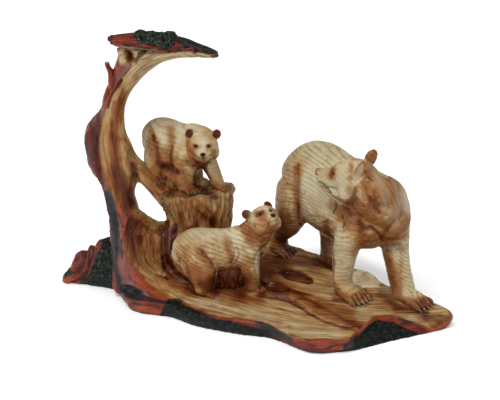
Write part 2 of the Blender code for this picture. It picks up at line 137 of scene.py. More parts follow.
class CastColours(bpy.types.PropertyGroup):
    """The paints on the cast."""

    cream: colour("Cream", "Pale wood of the bears", (0.43, 0.37, 0.235))
    tan: colour("Tan", "Warmer wood", (0.36, 0.235, 0.105))
    ring: colour("Ring", "Glaze on the bears' growth rings", (0.42, 0.42, 0.32))
    blond: colour("Blond", "Pale touches on the bears", (0.42, 0.40, 0.29))
    # The warm and stain glazes also carry painted shade: in hollows, between the limbs and on undersides
    warm: colour("Warm", "Orange brown glaze", (0.48, 0.205, 0.085))
    stain_and_shade: colour("Stain", "Dark brown glaze of the hollows", (0.22, 0.09, 0.06))
    honey: colour("Honey", "Driftwood", (0.39, 0.25, 0.105))
    brown: colour("Brown", "Glaze of the driftwood's dark grain", (0.36, 0.23, 0.16))
    # Bleached wood, also the colour of painted highlights on lit edges, ridges and crests
    bleached_and_highlight: colour("Bleached", "Bleached wood", (0.38, 0.31, 0.18))
    brick: colour("Brick", "Bark", (0.185, 0.026, 0.011))
    # Bright orange red of the bark: its own bright strips, and painted highlights on ridges and edges
    rust_and_highlight: colour("Rust", "Bright ridges of the bark", (0.33, 0.064, 0.022))
    mahogany: colour("Mahogany", "Dark bark", (0.045, 0.011, 0.007))
    charcoal: colour("Charcoal", "Burnt patches of the bark", (0.02, 0.019, 0.02))
    # Bleached bark, and painted highlights on ridges and lips of the bark
    mauve_and_highlight: colour("Mauve", "Bleached bark", (0.17, 0.088, 0.086))
    moss: colour("Moss", "Tops of the moss", (0.034, 0.05, 0.03))
    moss_shade: colour("Moss shade", "Hollows of the moss", (0.002, 0.004, 0.003))
    rock: colour("Rock", "Bare stone", (0.82, 0.67, 0.43))
    horn: colour("Horn", "Claws", (0.19, 0.125, 0.075))
    jet: colour("Jet", "Eyes and noses", (0.008, 0.006, 0.006))


def sizes():
    """The size settings."""
    return bpy.context.scene.bear_sizes


def paints():
    """The colour settings."""
    return bpy.context.scene.bear_colours


# Curves, tubes and noise, all in drawing units

Y_AXIS = np.array([0.0, 1.0, 0.0])
# The least half width of a tube
THINNEST = 0.15
# How far a seed moves the lattice of the noise and of the lumps
NOISE_SHIFT = 17.31
LUMP_SHIFT = 9.7


def lengths(vectors):
    """How long each vector is."""
    return np.linalg.norm(vectors, axis=1)


def normed(vectors):
    """Vectors at length 1."""
    return vectors / lengths(vectors)[:, None]


def spline(rows, per_span, closed=False):
    """A Catmull-Rom curve: each span is the cubic through its two rows, with slopes half the gap between
    their neighbours."""
    rows = np.asarray(rows, float)
    if closed:
        padded = np.vstack([rows[-1], rows, rows[:2]])
    else:
        padded = np.vstack([2 * rows[0] - rows[1], rows, 2 * rows[-1] - rows[-2]])
    t = np.arange(per_span)[:, None] / per_span
    parts = []
    for a, b, c, d in zip(padded, padded[1:], padded[2:], padded[3:]):
        parts.append(0.5 * (2 * b + (c - a) * t + (2 * a - 5 * b + 4 * c - d) * t**2
                            + (3 * b - a - 3 * c + d) * t**3))
    if not closed:
        parts.append(rows[-1:])
    return np.vstack(parts)


def grid_faces(rings, around):
    """Quads between rings of points, which run one after another, and a cap over each end."""
    ring = np.arange(rings - 1)[:, None] * around
    here = np.arange(around)[None, :]
    after = (here + 1) % around
    quads = np.stack([ring + here, ring + after, ring + around + after, ring + around + here], -1)
    last = (rings - 1) * around
    return quads.reshape(-1, 4).tolist() + [list(range(around))[::-1], list(range(last, last + around))]


def tube(rows, around=32, per_span=8, cap=0.8, square=2.0):
    """A closed tube through rows of (x, y, z, half width, half height): at each point of the curve a ring
    centre + side * width * cos(t) + up * height * sin(t), with quarter-ellipse ends. The side is what is
    square to the curve and nearest to Y. Square above 2 raises the cosine and sine to 2 / square, which makes
    the ring boxier."""
    path = spline(rows, per_span)
    path[:, 3:] = np.maximum(path[:, 3:], THINNEST)
    centres, radii = path[:, :3], path[:, 3:]
    tangents = normed(np.gradient(centres, axis=0))
    bulge = np.sin(np.linspace(0, math.pi / 2, 7))[1:]
    shrink = np.maximum(np.sqrt(1 - bulge**2), 0.05)
    reach = cap * radii.min(axis=1)
    front = centres[0] - tangents[0] * reach[0] * bulge[::-1, None]
    back = centres[-1] + tangents[-1] * reach[-1] * bulge[:, None]
    ends = len(bulge)
    centres = np.vstack([front, centres, back])
    radii = np.vstack([radii[0] * shrink[::-1, None], radii, radii[-1] * shrink[:, None]])
    tangents = np.vstack([np.repeat(tangents[:1], ends, 0), tangents, np.repeat(tangents[-1:], ends, 0)])
    sides = normed(Y_AXIS - tangents * (tangents @ Y_AXIS)[:, None])
    ups = np.cross(tangents, sides)
    turn = np.arange(around) * 2 * math.pi / around
    c, s = np.cos(turn), np.sin(turn)
    c, s = np.sign(c) * np.abs(c) ** (2 / square), np.sign(s) * np.abs(s) ** (2 / square)
    points = (centres[:, None] + sides[:, None] * (radii[:, :1] * c)[..., None]
              + ups[:, None] * (radii[:, 1:] * s)[..., None])
    return points.reshape(-1, 3), grid_faces(len(points), around)


def ball(x, y, z, a, b, c, around=24):
    """An ellipsoid with half sizes a, b and c, as a short tube along X."""
    turns = np.linspace(-1.4, 1.4, 15)
    rows = [(x + a * math.sin(t), y, z, b * math.cos(t), c * math.cos(t)) for t in turns]
    return tube(rows, per_span=1, around=around, cap=0.4)


def through(points, matrix):
    """The points through a matrix."""
    m = np.array(matrix)
    return points @ m[:3, :3].T + m[:3, 3]


def seen_from(points, frame):
    """The points as a frame sees them."""
    return through(points, frame.inverted())


def moved(shell, matrix):
    """The shell's points through a matrix, its faces as they were."""
    return through(shell[0], matrix), shell[1]


def framing(place, turn, unit=1, pitch=0.0, roll=0.0):
    """The matrix of a local frame that is drawn in its own units, turned by degrees and put in place."""
    turned = Euler([math.radians(angle) for angle in (roll, -pitch, turn)], "XYZ").to_matrix().to_4x4()
    return Matrix.Translation(Vector(place)) @ turned @ Matrix.Scale(unit, 4)


# A shuffled row of the numbers from 0 to 255, and for each of them a slope and a place in a lattice cell
ORDER = np.random.default_rng(11).permutation(256)
LEANS = normed(np.random.default_rng(7).normal(size=(256, 3)))
JITTER = np.random.default_rng(5).random((256, 3))


def picks(cell):
    """A number from 0 to 255 for each lattice cell, by looking up its three indices one after another."""
    return ORDER[(ORDER[(ORDER[cell[:, 0] & 255] + cell[:, 1]) & 255] + cell[:, 2]) & 255]


def noise(points, size, seed):
    """Gradient noise from about -1 to 1, in lumps of a size, or of a size for each axis: at each lattice
    corner a slope times the offset from it, blended with the smooth quintic 6t^5 - 15t^4 + 10t^3."""
    at = points / size + seed * NOISE_SHIFT
    cell = np.floor(at).astype(int)
    part = at - cell
    ease = part**3 * (part * (part * 6 - 15) + 10)
    total = 0
    for corner in np.ndindex(2, 2, 2):
        offset = part - corner
        weight = np.prod(np.where(np.array(corner), ease, 1 - ease), axis=1)
        total = total + weight * (LEANS[picks(cell + corner)] * offset).sum(1)
    return total * 1.7


def lumps(points, size, seed):
    """Round lumps, 1 at their middles and 0 between them: one minus the distance to the nearest of a set of
    points, one scattered in each lattice cell."""
    at = points / size + seed * LUMP_SHIFT
    cell = np.floor(at).astype(int)
    nearest = np.full(len(at), 9.0)
    for step in np.ndindex(3, 3, 3):
        near = cell + np.array(step) - 1
        nearest = np.minimum(nearest, lengths(near + JITTER[picks(near)] - at))
    return np.clip(1 - nearest, 0, 1)


def torn_edge(points, large, small, share=0.5):
    """Noise that makes an edge ragged: large lobes with smaller ones on them."""
    return noise(points, large, 3) + share * noise(points, small, 4)


def tufts(points, size=3.2, share=0.4):
    """The bumps of the moss: lumps of a size with a share of finer ones."""
    return (1 - share) * lumps(points, size, 2) + share * lumps(points, 1.7, 3)


def ramp(values, start, end):
    """0 below start, 1 above end, and the smooth cubic 3t^2 - 2t^3 between them."""
    t = np.clip((values - start) / (end - start), 0, 1)
    return t * t * (3 - 2 * t)


def bell(values, middle, width):
    """1 at a middle and less on both sides of it: exp(-((value - middle) / width)^2)."""
    return np.exp(-((values - middle) / width) ** 2)


def along(flat, path, width):
    """How near flat points lie to a smooth curve through the path: exp(-(distance / width)^2), with the
    distance to the nearest of the straight pieces that the curve is cut into."""
    path = spline(path, 6)
    near = np.nonzero(((flat > path.min(0) - 3 * width) & (flat < path.max(0) + 3 * width)).all(1))[0]
    gap = np.full(len(near), 1e9)
    for start, end in zip(path, path[1:]):
        run = end - start
        off = flat[near] - start
        share = np.clip(off @ run / (run @ run), 0, 1)
        gap = np.minimum(gap, lengths(off - share[:, None] * run))
    amount = np.zeros(len(flat))
    amount[near] = bell(gap, 0, width)
    return amount


def read_off(places, table):
    """A table of rows (place, value), read off between its rows."""
    return np.interp(places, *np.array(table).T)


def oval(flat, centre, long, wide, degrees):
    """How far flat points lie from an oval's centre: 0 there and 1 on its edge."""
    a = math.radians(degrees)
    x, y = (flat - centre).T
    return np.hypot((x * math.cos(a) + y * math.sin(a)) / long, (y * math.cos(a) - x * math.sin(a)) / wide)


def within(points, centre, reach):
    """How near points lie to a centre, 1 on it: exp(-squared distance), with a reach for each axis."""
    return np.exp(-(((points - centre) / reach) ** 2).sum(1))


def pixels(points):
    """Where the viewpoint sees each point, in the photograph's pixels, by a pinhole camera."""
    away = points - EYE
    scale = LENS / SENSOR * PHOTO[0] / -(away @ BACK)
    return np.column_stack([PHOTO[0] / 2 + scale * (away @ RIGHT), PHOTO[1] / 2 - scale * (away @ UP)])


def joined(name, shells, unit=1):
    """A mesh of several closed shells, with their points times a unit."""
    points = np.vstack([shell[0] for shell in shells]) * unit
    starts = np.cumsum([0] + [len(shell[0]) for shell in shells[:-1]])
    faces = [[corner + int(start) for corner in face] for start, shell in zip(starts, shells)
             for face in shell[1]]
    mesh = bpy.data.meshes.new(name)
    mesh.from_pydata(points.tolist(), [], faces)
    return mesh


def placed(name, data):
    """A new object in the scene."""
    thing = bpy.data.objects.new(name, data)
    bpy.context.scene.collection.objects.link(thing)
    return thing


# How the surface that the viewpoint sees is told from what lies behind it: the nearest point is found in each
# cell of so many pixels, and a point fades out as it lies so many units behind that one
CELL = 2
CELLS_DOWN = 1000
HIDDEN, SHOWN = -10, -7


class Skin:
    """A fused surface while it is carved and painted. A layer of paint is a share from 0 to 1 a point."""

    def __init__(self, name, shells, step, soften=2):
        """Fuses the shells by voxels of a step and smooths off the steps that this leaves."""
        mesh = joined(name, shells)
        thing = placed(name, mesh)
        fuse = thing.modifiers.new("fuse", "REMESH")
        fuse.mode = "VOXEL"
        fuse.voxel_size = step
        graph = bpy.context.evaluated_depsgraph_get()
        fused = bpy.data.meshes.new_from_object(thing.evaluated_get(graph))
        bpy.data.objects.remove(thing)
        bpy.data.meshes.remove(mesh)
        self.name = name
        self.mesh = fused
        self.layers = {}
        self.points = np.empty(len(fused.vertices) * 3)
        fused.vertices.foreach_get("co", self.points)
        self.points = self.points.reshape(-1, 3)
        self.quads = np.empty(len(fused.loops), int)
        fused.loops.foreach_get("vertex_index", self.quads)
        self.quads = self.quads.reshape(-1, 4)
        self.starts = self.quads.ravel()
        self.ends = np.roll(self.quads, -1, axis=1).ravel()
        self.points = self.blurred(self.points, soften)
        self.renew()

    def blurred(self, values, steps):
        """Values spread over the surface: each step moves them half way to their neighbours' mean."""
        count = len(self.points)
        share = np.bincount(self.starts, minlength=count)
        columns = values.reshape(count, -1).T.copy()
        for _ in range(steps):
            for k, column in enumerate(columns):
                total = np.bincount(self.starts, column[self.ends], count)
                columns[k] = 0.5 * column + 0.5 * total / share
        return columns.T.reshape(values.shape)

    def renew(self):
        """Works out each point's normal, the cross products of its faces' diagonals added up, its pixel, and
        how much of it faces the viewpoint with nothing before it."""
        p = self.points[self.quads]
        cross = np.cross(p[:, 2] - p[:, 0], p[:, 3] - p[:, 1])
        normals = np.zeros_like(self.points)
        for axis in range(3):
            for corner in range(4):
                normals[:, axis] += np.bincount(self.quads[:, corner], cross[:, axis], len(normals))
        self.normals = normals / np.maximum(lengths(normals), 1e-9)[:, None]
        self.seen = pixels(self.points)
        away = (EYE - self.points) @ BACK
        cell = np.floor(self.seen / CELL).astype(int)
        cell = cell[:, 0] * CELLS_DOWN + cell[:, 1]
        nearest = np.full(cell.max() + 1, np.inf)
        np.minimum.at(nearest, cell, away)
        shown = ramp(nearest[cell] - away, HIDDEN, SHOWN)
        self.facing = self.blurred(ramp(self.normals @ BACK, 0.0, 0.3) * shown, 4)

    def push(self, amount):
        """Moves the points along their normals and works the normals out again."""
        self.points = self.points + self.normals * amount[:, None]
        self.renew()

    def shift(self, amount, direction):
        """Moves the points in one direction."""
        self.points = self.points + amount[:, None] * np.asarray(direction, float)
        self.renew()

    def ease(self, steps, where):
        """Melts the joints between limbs: moves the points to their blurred places by a share."""
        self.points = self.points + (self.blurred(self.points, steps) - self.points) * where[:, None]
        self.renew()

    def stop_at(self, level):
        """Lifts what lies below a level up to it."""
        self.points[:, 2] = np.maximum(self.points[:, 2], level)

    def spot(self, pixel):
        """The point of the surface that the viewpoint sees at a pixel: the nearest in the picture of those
        within 1.5 pixels of it and within 3 units of the foremost."""
        near = np.nonzero((np.hypot(*(self.seen - pixel).T) < 1.5) & (self.facing > 0.2))[0]
        front = (self.points[near] - EYE) @ BACK
        shown = near[front > front.max() - 3]
        return self.points[shown[np.hypot(*(self.seen[shown] - pixel).T).argmin()]]

    def paint(self, layer, amount):
        """Adds paint to a layer, never beyond 1: what is bare so far takes its share."""
        bare = 1 - self.layers.get(layer, np.zeros(len(self.points)))
        self.layers[layer] = 1 - bare * (1 - np.clip(amount, 0, 1))

    def hollow(self, steps, depth):
        """How deep each point lies below the smoothed surface, as a share of a depth."""
        low = ((self.blurred(self.points, steps) - self.points) * self.normals).sum(1)
        return np.clip(low / depth, 0, 1)

    def stroke(self, path, width):
        """How near each point that faces the viewpoint lies to a line drawn in the photograph's pixels."""
        return along(self.seen, path, width) * self.facing

    def brush(self, layers):
        """Paints the strokes of each layer: a path, its width and its strength."""
        for layer, strokes in layers.items():
            for path, width, amount in strokes:
                self.paint(layer, self.stroke(path, width) * amount)

    def creased(self, creases):
        """Darkens creases and returns how deep they cut: each is a path, its width, its depth, its darkness,
        partly stain and partly painted shade in the crease.
        """
        total = np.zeros(len(self.points))
        for path, width, depth, dark in creases:
            near = self.stroke(path, width)
            total += near * depth
            self.paint("stain_and_shade", near * dark)
        return total

    def prime(self, layers):
        """Adds the layers that nothing has painted, bare, so that the material finds them all."""
        for layer in layers:
            self.paint(layer, 0.0)

    def finish(self, material):
        """Makes the object: the carved points in metres, kept inside the cast's own box, the layers as
        attributes, smooth shading, and its place in the frame."""
        inside = np.clip(self.points * UNIT, CAD_BOX[0], CAD_BOX[1])
        self.mesh.vertices.foreach_set("co", inside.astype(np.float32).ravel())
        for layer, amount in self.layers.items():
            flat = amount.ndim == 1
            made = self.mesh.attributes.new(layer, "FLOAT" if flat else "FLOAT_VECTOR", "POINT")
            made.data.foreach_set("value" if flat else "vector", amount.astype(np.float32).ravel())
        self.mesh.shade_smooth()
        self.mesh.materials.clear()
        self.mesh.materials.append(material)
        self.mesh.update()
        return settle(placed(self.name, self.mesh))


def settle(thing):
    """Gives a finished piece its body and hides the cast's node, which the pieces stand in for."""
    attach(thing, "root")
    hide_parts(CAST)
    return thing


def plain_piece(name, shells, material):
    """A piece of several small closed shells that are too fine to fuse."""
    mesh = joined(name, shells, UNIT)
    mesh.shade_smooth()
    mesh.materials.append(material)
    return settle(placed(name, mesh))


# Shader maths


class Wire:
    """A shader socket. Arithmetic on it adds Math nodes, and node() adds any other node beside it."""

    def __init__(self, tree, socket=None):
        self.tree = tree
        self.socket = socket

    def node(self, kind, settings, inputs, output=0):
        """Adds a node of a kind, sets its settings, and fills its sockets with values or with other wires."""
        made = self.tree.nodes.new("ShaderNode" + kind)
        for name, value in settings.items():
            setattr(made, name, value)
        for name, value in inputs.items():
            if isinstance(value, Wire):
                self.tree.links.new(value.socket, made.inputs[name])
            else:
                made.inputs[name].default_value = value
        return Wire(self.tree, made.outputs[output])

    def maths(self, operation, *terms):
        """A Math node on this socket and the terms after it."""
        return self.node("Math", {"operation": operation}, dict(enumerate((self, *terms))))

    def __add__(self, other):
        return self.maths("ADD", other)

    __radd__ = __add__

    def __mul__(self, other):
        return self.maths("MULTIPLY", other)

    __rmul__ = __mul__

    def __sub__(self, other):
        return self.maths("SUBTRACT", other)

    def __rsub__(self, other):
        return self.node("Math", {"operation": "SUBTRACT"}, {0: other, 1: self})

    def __pow__(self, other):
        return self.maths("POWER", other)

    def between(self, low, high):
        """0 below low and 1 above high, smooth between them."""
        return self.node("MapRange", {"interpolation_type": "SMOOTHSTEP"}, {0: self, 1: low, 2: high})

    def times(self, vector, scale):
        """A vector scaled by a number, or by three."""
        scale = scale if isinstance(scale, tuple) else (scale, scale, scale)
        return self.node("VectorMath", {"operation": "MULTIPLY"}, {0: vector, 1: scale})

    def dot(self, vector, direction):
        """How far a vector reaches in a direction."""
        return self.node("VectorMath", {"operation": "DOT_PRODUCT"}, {0: vector, 1: direction}, "Value")

    def mottle(self, vector, scale, detail=3.0, roughness=0.5):
        """Noise from 0 to 1 on a vector."""
        return self.node("TexNoise", {}, {"Vector": vector, "Scale": scale, "Detail": detail,
                                          "Roughness": roughness})

    def layer(self, name):
        """A painted layer of the mesh."""
        return self.node("Attribute", {"attribute_name": name}, {}, "Fac")

    def place(self):
        """The place on the object, in drawing units."""
        return self.times(self.node("TexCoord", {}, {}, "Object"), 1 / UNIT)

    def lines(self, start, end):
        """Thin lines with one soft side, one for each whole number that this socket passes."""
        saw = self.maths("FRACT")
        return saw.between(start, end) ** 2 * (1 - saw.between(0.92, 1.0))

    def wash(self, name, breaks, low, high):
        """A painted layer whose edges are broken up by noises, each with a share, from low to high."""
        total = self.layer(name)
        for spots, share in breaks:
            total = total + (spots - 0.5) * share
        return total.between(low, high)

    def glaze(self, share, body, tint):
        """A body colour under a clear glaze: each part of it times the tint's part to the power of the share,
        so a thicker coat is deeper in colour as well as darker."""
        coat = {part: self.node("Math", {"operation": "POWER"}, {0: value, 1: share})
                for part, value in zip(("Red", "Green", "Blue"), tint)}
        return self.mix(1.0, body, self.node("CombineColor", {}, coat), "MULTIPLY")

    def mix(self, share, first, second, blend="MIX"):
        """Two colours mixed by a share."""
        ends = [value if isinstance(value, Wire) else (*value, 1) for value in (first, second)]
        settings = {"data_type": "RGBA", "blend_type": blend}
        return self.node("Mix", settings, {0: share, 6: ends[0], 7: ends[1]}, 2)


# How the paint shines: its clear coat, and the reflections under that
SHINE = {"Coat Weight": 0.14, "Coat Roughness": 0.14, "Specular IOR Level": 0.12}


def painted(name, finish):
    material = bpy.data.materials.new(name)
    material.use_nodes = True
    tree = material.node_tree
    wire = Wire(tree)
    shader = tree.nodes["Principled BSDF"]
    base, roughness, height = finish(wire)
    bump = wire.node("Bump", {}, {"Strength": 1.0, "Distance": UNIT, "Height": height}, "Normal")
    for socket, value in (("Base Color", base), ("Roughness", roughness), ("Normal", bump)):
        tree.links.new(value.socket, shader.inputs[socket])
    for socket, value in SHINE.items():
        shader.inputs[socket].default_value = value
    return material


def bear_wood(name):
    """Carved pale wood. The layer "sheet" counts growth rings: each whole number of it is a thin dark line
    with a soft side. A thin glaze dims the wood between them. Over that come the warm wash and the dark
    stain, which also carry painted shade in hollows, creases, between the limbs and on the undersides, then
    pale touches and the black paint."""
    paint = paints()

    def finish(wire):
        place = wire.place()
        line = wire.layer("sheet").lines(0.3, 0.9)
        strength = wire.mottle(place, 0.08, 2.0).between(0.28, 0.55) * wire.layer("rings")
        body = wire.mix(wire.mottle(place, 0.045).between(0.42, 0.7), paint.cream, paint.tan)
        body = wire.glaze(line * strength + wire.layer("dim"), body, paint.ring)
        fibre = wire.mottle(wire.times(place, (0.6, 0.6, 2.4)), 0.5, 4.0)
        blotch = wire.mottle(place, 0.16, 4.0)
        # The warm wash: orange brown glaze, and painted shade on the undersides and in broad hollows
        warm = wire.wash("warm", [(blotch, 0.6), (fibre, 0.3)], 0.05, 1.1)
        body = wire.glaze(warm * 0.95, body, paint.warm)
        # The dark glaze: stain, and painted shade in hollows, creases, between the limbs and on the
        # undersides
        stain_and_shade = wire.wash("stain_and_shade", [(blotch, 0.4), (fibre, 0.3)], 0.12, 1.1)
        body = wire.glaze(stain_and_shade * 0.9, body, paint.stain_and_shade)
        body = wire.mix(wire.layer("pale") * 0.8, body, paint.blond)
        body = wire.mix(wire.layer("black"), body, paint.jet)
        roughness = 0.42 + 0.2 * fibre - 0.1 * stain_and_shade
        fur = wire.mottle(wire.times(place, (1.2, 1.2, 0.35)), 1.1)
        height = line * -0.1 + fibre * 0.15 + fur * 0.3
        return body, roughness, height

    return painted(name, finish)


def driftwood_paint(name):
    """Driftwood: streaks along the grain, pale patches of bleaching and painted highlight, dark patches of
    stain and painted shade, red bark with charcoal and painted highlights, and moss.
    """
    paint = paints()

    def finish(wire):
        place = wire.place()
        grain = wire.node("Attribute", {"attribute_name": "grain"}, {}, "Vector")
        streak = wire.mottle(grain, 0.3, 4.0, 0.55)
        broad = wire.mottle(grain, 0.06, 2.0)
        fine = wire.mottle(grain, 1.1, 3.0, 0.6)
        blotch = wire.mottle(place, 0.1, 4.0)
        line = (wire.dot(grain, (0.32, 0.32, 0.0)) + broad * 13 + streak * 1.2).lines(0.35, 0.88)
        wood = wire.mix(broad.between(0.4, 0.6), paint.honey, paint.tan)
        # The pale layer: bleached wood, and painted highlights on lit edges, ridges and the stump's crests
        wood = wire.mix(wire.layer("pale") * 0.85, wood, wire.mix(streak, paint.bleached_and_highlight, paint.cream))
        warm = wire.wash("warm", [(blotch, 0.5)], 0.1, 1.0)
        wood = wire.glaze(warm * 0.8, wood, paint.warm)
        dark = streak.between(0.42, 0.75) * 0.5 + line * 0.5 * blotch.between(0.38, 0.6)
        wood = wire.glaze(dark + fine.between(0.45, 0.75) * 0.3, wood, paint.brown)
        # The dark glaze: stain, and painted shade in the wood's hollows and along the crease
        stain_and_shade = wire.wash("stain_and_shade", [(blotch, 0.4), (streak, 0.4)], 0.15, 1.1)
        wood = wire.glaze(stain_and_shade, wood, paint.stain_and_shade)
        wood = wire.mix(wire.layer("rock"), wood, paint.rock)
        patch = wire.mottle(place, 0.05)
        bark = wire.mix(patch.between(0.42, 0.62) * 0.65, paint.brick, paint.mahogany)
        bark = wire.mix(streak.between(0.48, 0.64) * 0.6, bark, paint.mahogany)
        # On bark the warm layer brings in bright orange red: the bark's own strips, and painted highlights on
        # ridges and edges
        bark = wire.mix(warm * 0.7 * (0.4 + streak), bark, paint.rust_and_highlight)
        # Pale purple: bleached bark, and painted highlights on ridges and lips
        bark = wire.mix(wire.layer("mauve_and_highlight") * 0.8, bark, paint.mauve_and_highlight)
        bark = wire.mix(wire.wash("char", [(blotch, 0.35)], 0.2, 0.8), bark, paint.charcoal)
        body = wire.mix(wire.layer("bark"), wood, bark)
        clump = wire.mottle(place, 0.55)
        green = wire.mix(wire.layer("tuft") * clump.between(0.4, 0.62) * 1.5, paint.moss_shade, paint.moss)
        body = wire.mix(wire.layer("moss"), body, green)
        roughness = 0.3 + 0.22 * fine + 0.1 * wire.layer("moss") - 0.1 * stain_and_shade
        height = (streak * -0.5 + fine * -0.3 - line * 0.3 + blotch * 0.5 * wire.layer("bark")
                  + clump * 1.9 * wire.layer("moss"))
        return body, roughness, height

    return painted(name, finish)


def one_paint(name, shade, roughness, darkest):
    """One paint with a roughness, darker in its mottles by a share."""
    dark = tuple(part * darkest for part in shade)

    def finish(wire):
        blotch = wire.mottle(wire.place(), 0.9)
        body = wire.mix(blotch.between(0.35, 0.65), tuple(shade), dark)
        return body, roughness + blotch * 0.1, blotch * 0.05

    return painted(name, finish)


# The base

OUTLINE = [(147, 37), (133, 43), (112, 44), (92, 47), (74, 52), (48, 57), (20, 61), (-12, 66), (-48, 61),
           (-82, 48), (-104, 26), (-112, 0), (-104, -26), (-92, -40), (-74, -56), (-60, -60), (-38, -54),
           (-12, -57), (20, -53), (44, -47), (62, -51), (80, -53), (96, -42), (108, -30), (122, -8),
           (138, 15), (146, 27)]
# Where the spokes of the base meet, the height of its front rim, and how far its back rises above that
HUB = np.array([10.0, 0.0])
RIM_HEIGHT = 10
BACK_RISE = 13
# Hollows in the top, and the knot: x, y, half length, half width, turn in degrees, depth
HOLLOWS = [(27, 23, 17, 9, -14, 4.0), (21, 1, 14, 9, -12, 4.5)]
KNOT = (-76, -47, 12, 6, -8, 6.0)
# Swells of the top: x, y, half length, half width, height
ROCK = (71, 46, 10, 6, 6.5)
SWELLS = [(-86, -29, 30, 24, 10), (-60, -14, 14, 5, 5), (-44, -22, 11, 4, 4), ROCK]
# The crease between the two planks: x, y, and half the height of the step up behind it
CREASE = [(8, -14), (24, -12), (37, -8), (54, -14), (69, -21), (86, -23), (101, -22)]
STEP = 2.2
# Where the side is a sloping bank, from one angle to another in degrees, and how far it draws the top in
BANK = (-21, 13, 0.15)
# The side from the top edge to the floor: share of the spoke, of the height and of the bank
WALL = ((1, 0.88, 1), (1.004, 0.75, 0.95), (1.004, 0.6, 0.85), (1, 0.45, 0.6), (0.995, 0.3, 0.3),
        (0.985, 0.15, 0.1), (0.975, 0, 0))
# How far the grain of the planks is bent to the front along the base: x, y
GRAIN_BEND = [(-150, 30), (-110, 12), (-75, -12), (-30, -20), (20, -20), (60, -16), (95, -2), (125, 18),
              (150, 30)]


def crease_side(x, y):
    """How far a point lies behind the crease (positive) or in front of it, and how far along it is."""
    line = spline(CREASE, 16)
    gaps = np.hypot(x[..., None] - line[:, 0], y[..., None] - line[:, 1])
    nearest = gaps.argmin(-1)
    ahead = line[np.minimum(nearest + 1, len(line) - 1)] - line[np.maximum(nearest - 1, 0)]
    off_x, off_y = x - line[nearest, 0], y - line[nearest, 1]
    side = np.sign(ahead[..., 0] * off_y - ahead[..., 1] * off_x)
    return side * gaps.min(-1), nearest / (len(line) - 1)


def scoop(x, y, hollow):
    """How deep a point lies in an oval hollow, 0 at its edge and 1 in the middle."""
    cx, cy, *oval_size, _ = hollow
    return np.clip(1 - oval(np.stack([x, y], -1), (cx, cy), *oval_size) ** 2, 0, 1)


def top_height(x, y):
    """The height of the base's top: a slab that rises to the back and falls away to the right, with a step
    along the crease and the hollows scooped out."""
    x, y = np.asarray(x, float), np.asarray(y, float)
    rise = np.clip((y + 55) / 115, 0, 1.05)
    fall = np.clip((x - 20) / 127, 0, 1)
    height = RIM_HEIGHT + BACK_RISE * rise * (1 - 0.75 * fall) - 2.0 * fall**2
    for cx, cy, long, wide, tall in SWELLS:
        height = height + tall * np.exp(-(((x - cx) / long) ** 2 + ((y - cy) / wide) ** 2))
    gap, share = crease_side(x, y)
    fade = np.clip(1 - abs(gap) / 30, 0, 1) * np.clip(share * 4, 0, 1)
    height = height + STEP * np.tanh(gap / 1.2) * fade * (1 - 0.6 * share)
    for hollow in [*HOLLOWS, KNOT]:
        height = height - hollow[5] * scoop(x, y, hollow) ** 0.6
    return height


def ground(x, y):
    """The level of the base's top at a place."""
    return float(top_height(x, y))


def bank_of(angle):
    """How far the top's edge is drawn in along the bank, as a share of the spoke at an angle in degrees."""
    start, end, most = BANK
    middle, half = (start + end) / 2, (end - start) / 2
    return most * np.clip(1 - ((angle - middle) / half) ** 2, 0, 1) ** 0.7


def base_shell():
    """The slab: rings run in from its outline over the top, and down its side to the floor."""
    edge = spline(OUTLINE, 16, closed=True)
    spokes = edge - HUB
    bank = bank_of(np.degrees(np.arctan2(spokes[:, 1], spokes[:, 0])))
    rings = []
    for share in np.linspace(0.01, 1, 60)[:-1] ** 0.7:
        flat = HUB + spokes * (share * (1 - bank))[:, None]
        rings.append(np.column_stack([flat, top_height(*flat.T)]))
    rim = top_height(*edge.T)
    for share, level, inward in WALL:
        flat = HUB + spokes * (share - bank * inward)[:, None]
        rings.append(np.column_stack([flat, rim * level]))
    points = np.vstack(rings)
    return points, [face[::-1] for face in grid_faces(len(rings), len(edge))]


# The rim's top edge in the photograph's pixels, and how thick the red strip under it is before moss begins
RIM_LINE = [(120, 262), (129, 266), (142, 274), (153, 281), (175, 295), (190, 306), (216, 316),
            (234, 318.5), (268, 323), (295, 339), (313, 339), (347, 340), (360.5, 328), (373.7, 316.6),
            (392, 315), (418, 323), (431.6, 329.7), (452.6, 318)]
RED_STRIP = [(120, 60), (160, 30), (168, 8), (190, 2.5), (240, 4), (262, 7), (290, 12), (303, 30),
             (344, 30), (352, 8), (368, 4), (392, 6), (405, 9), (424, 11), (430, 30)]
# The columns of pixels between which the rim begins at the base's left end
RIM_START = (116, 120)


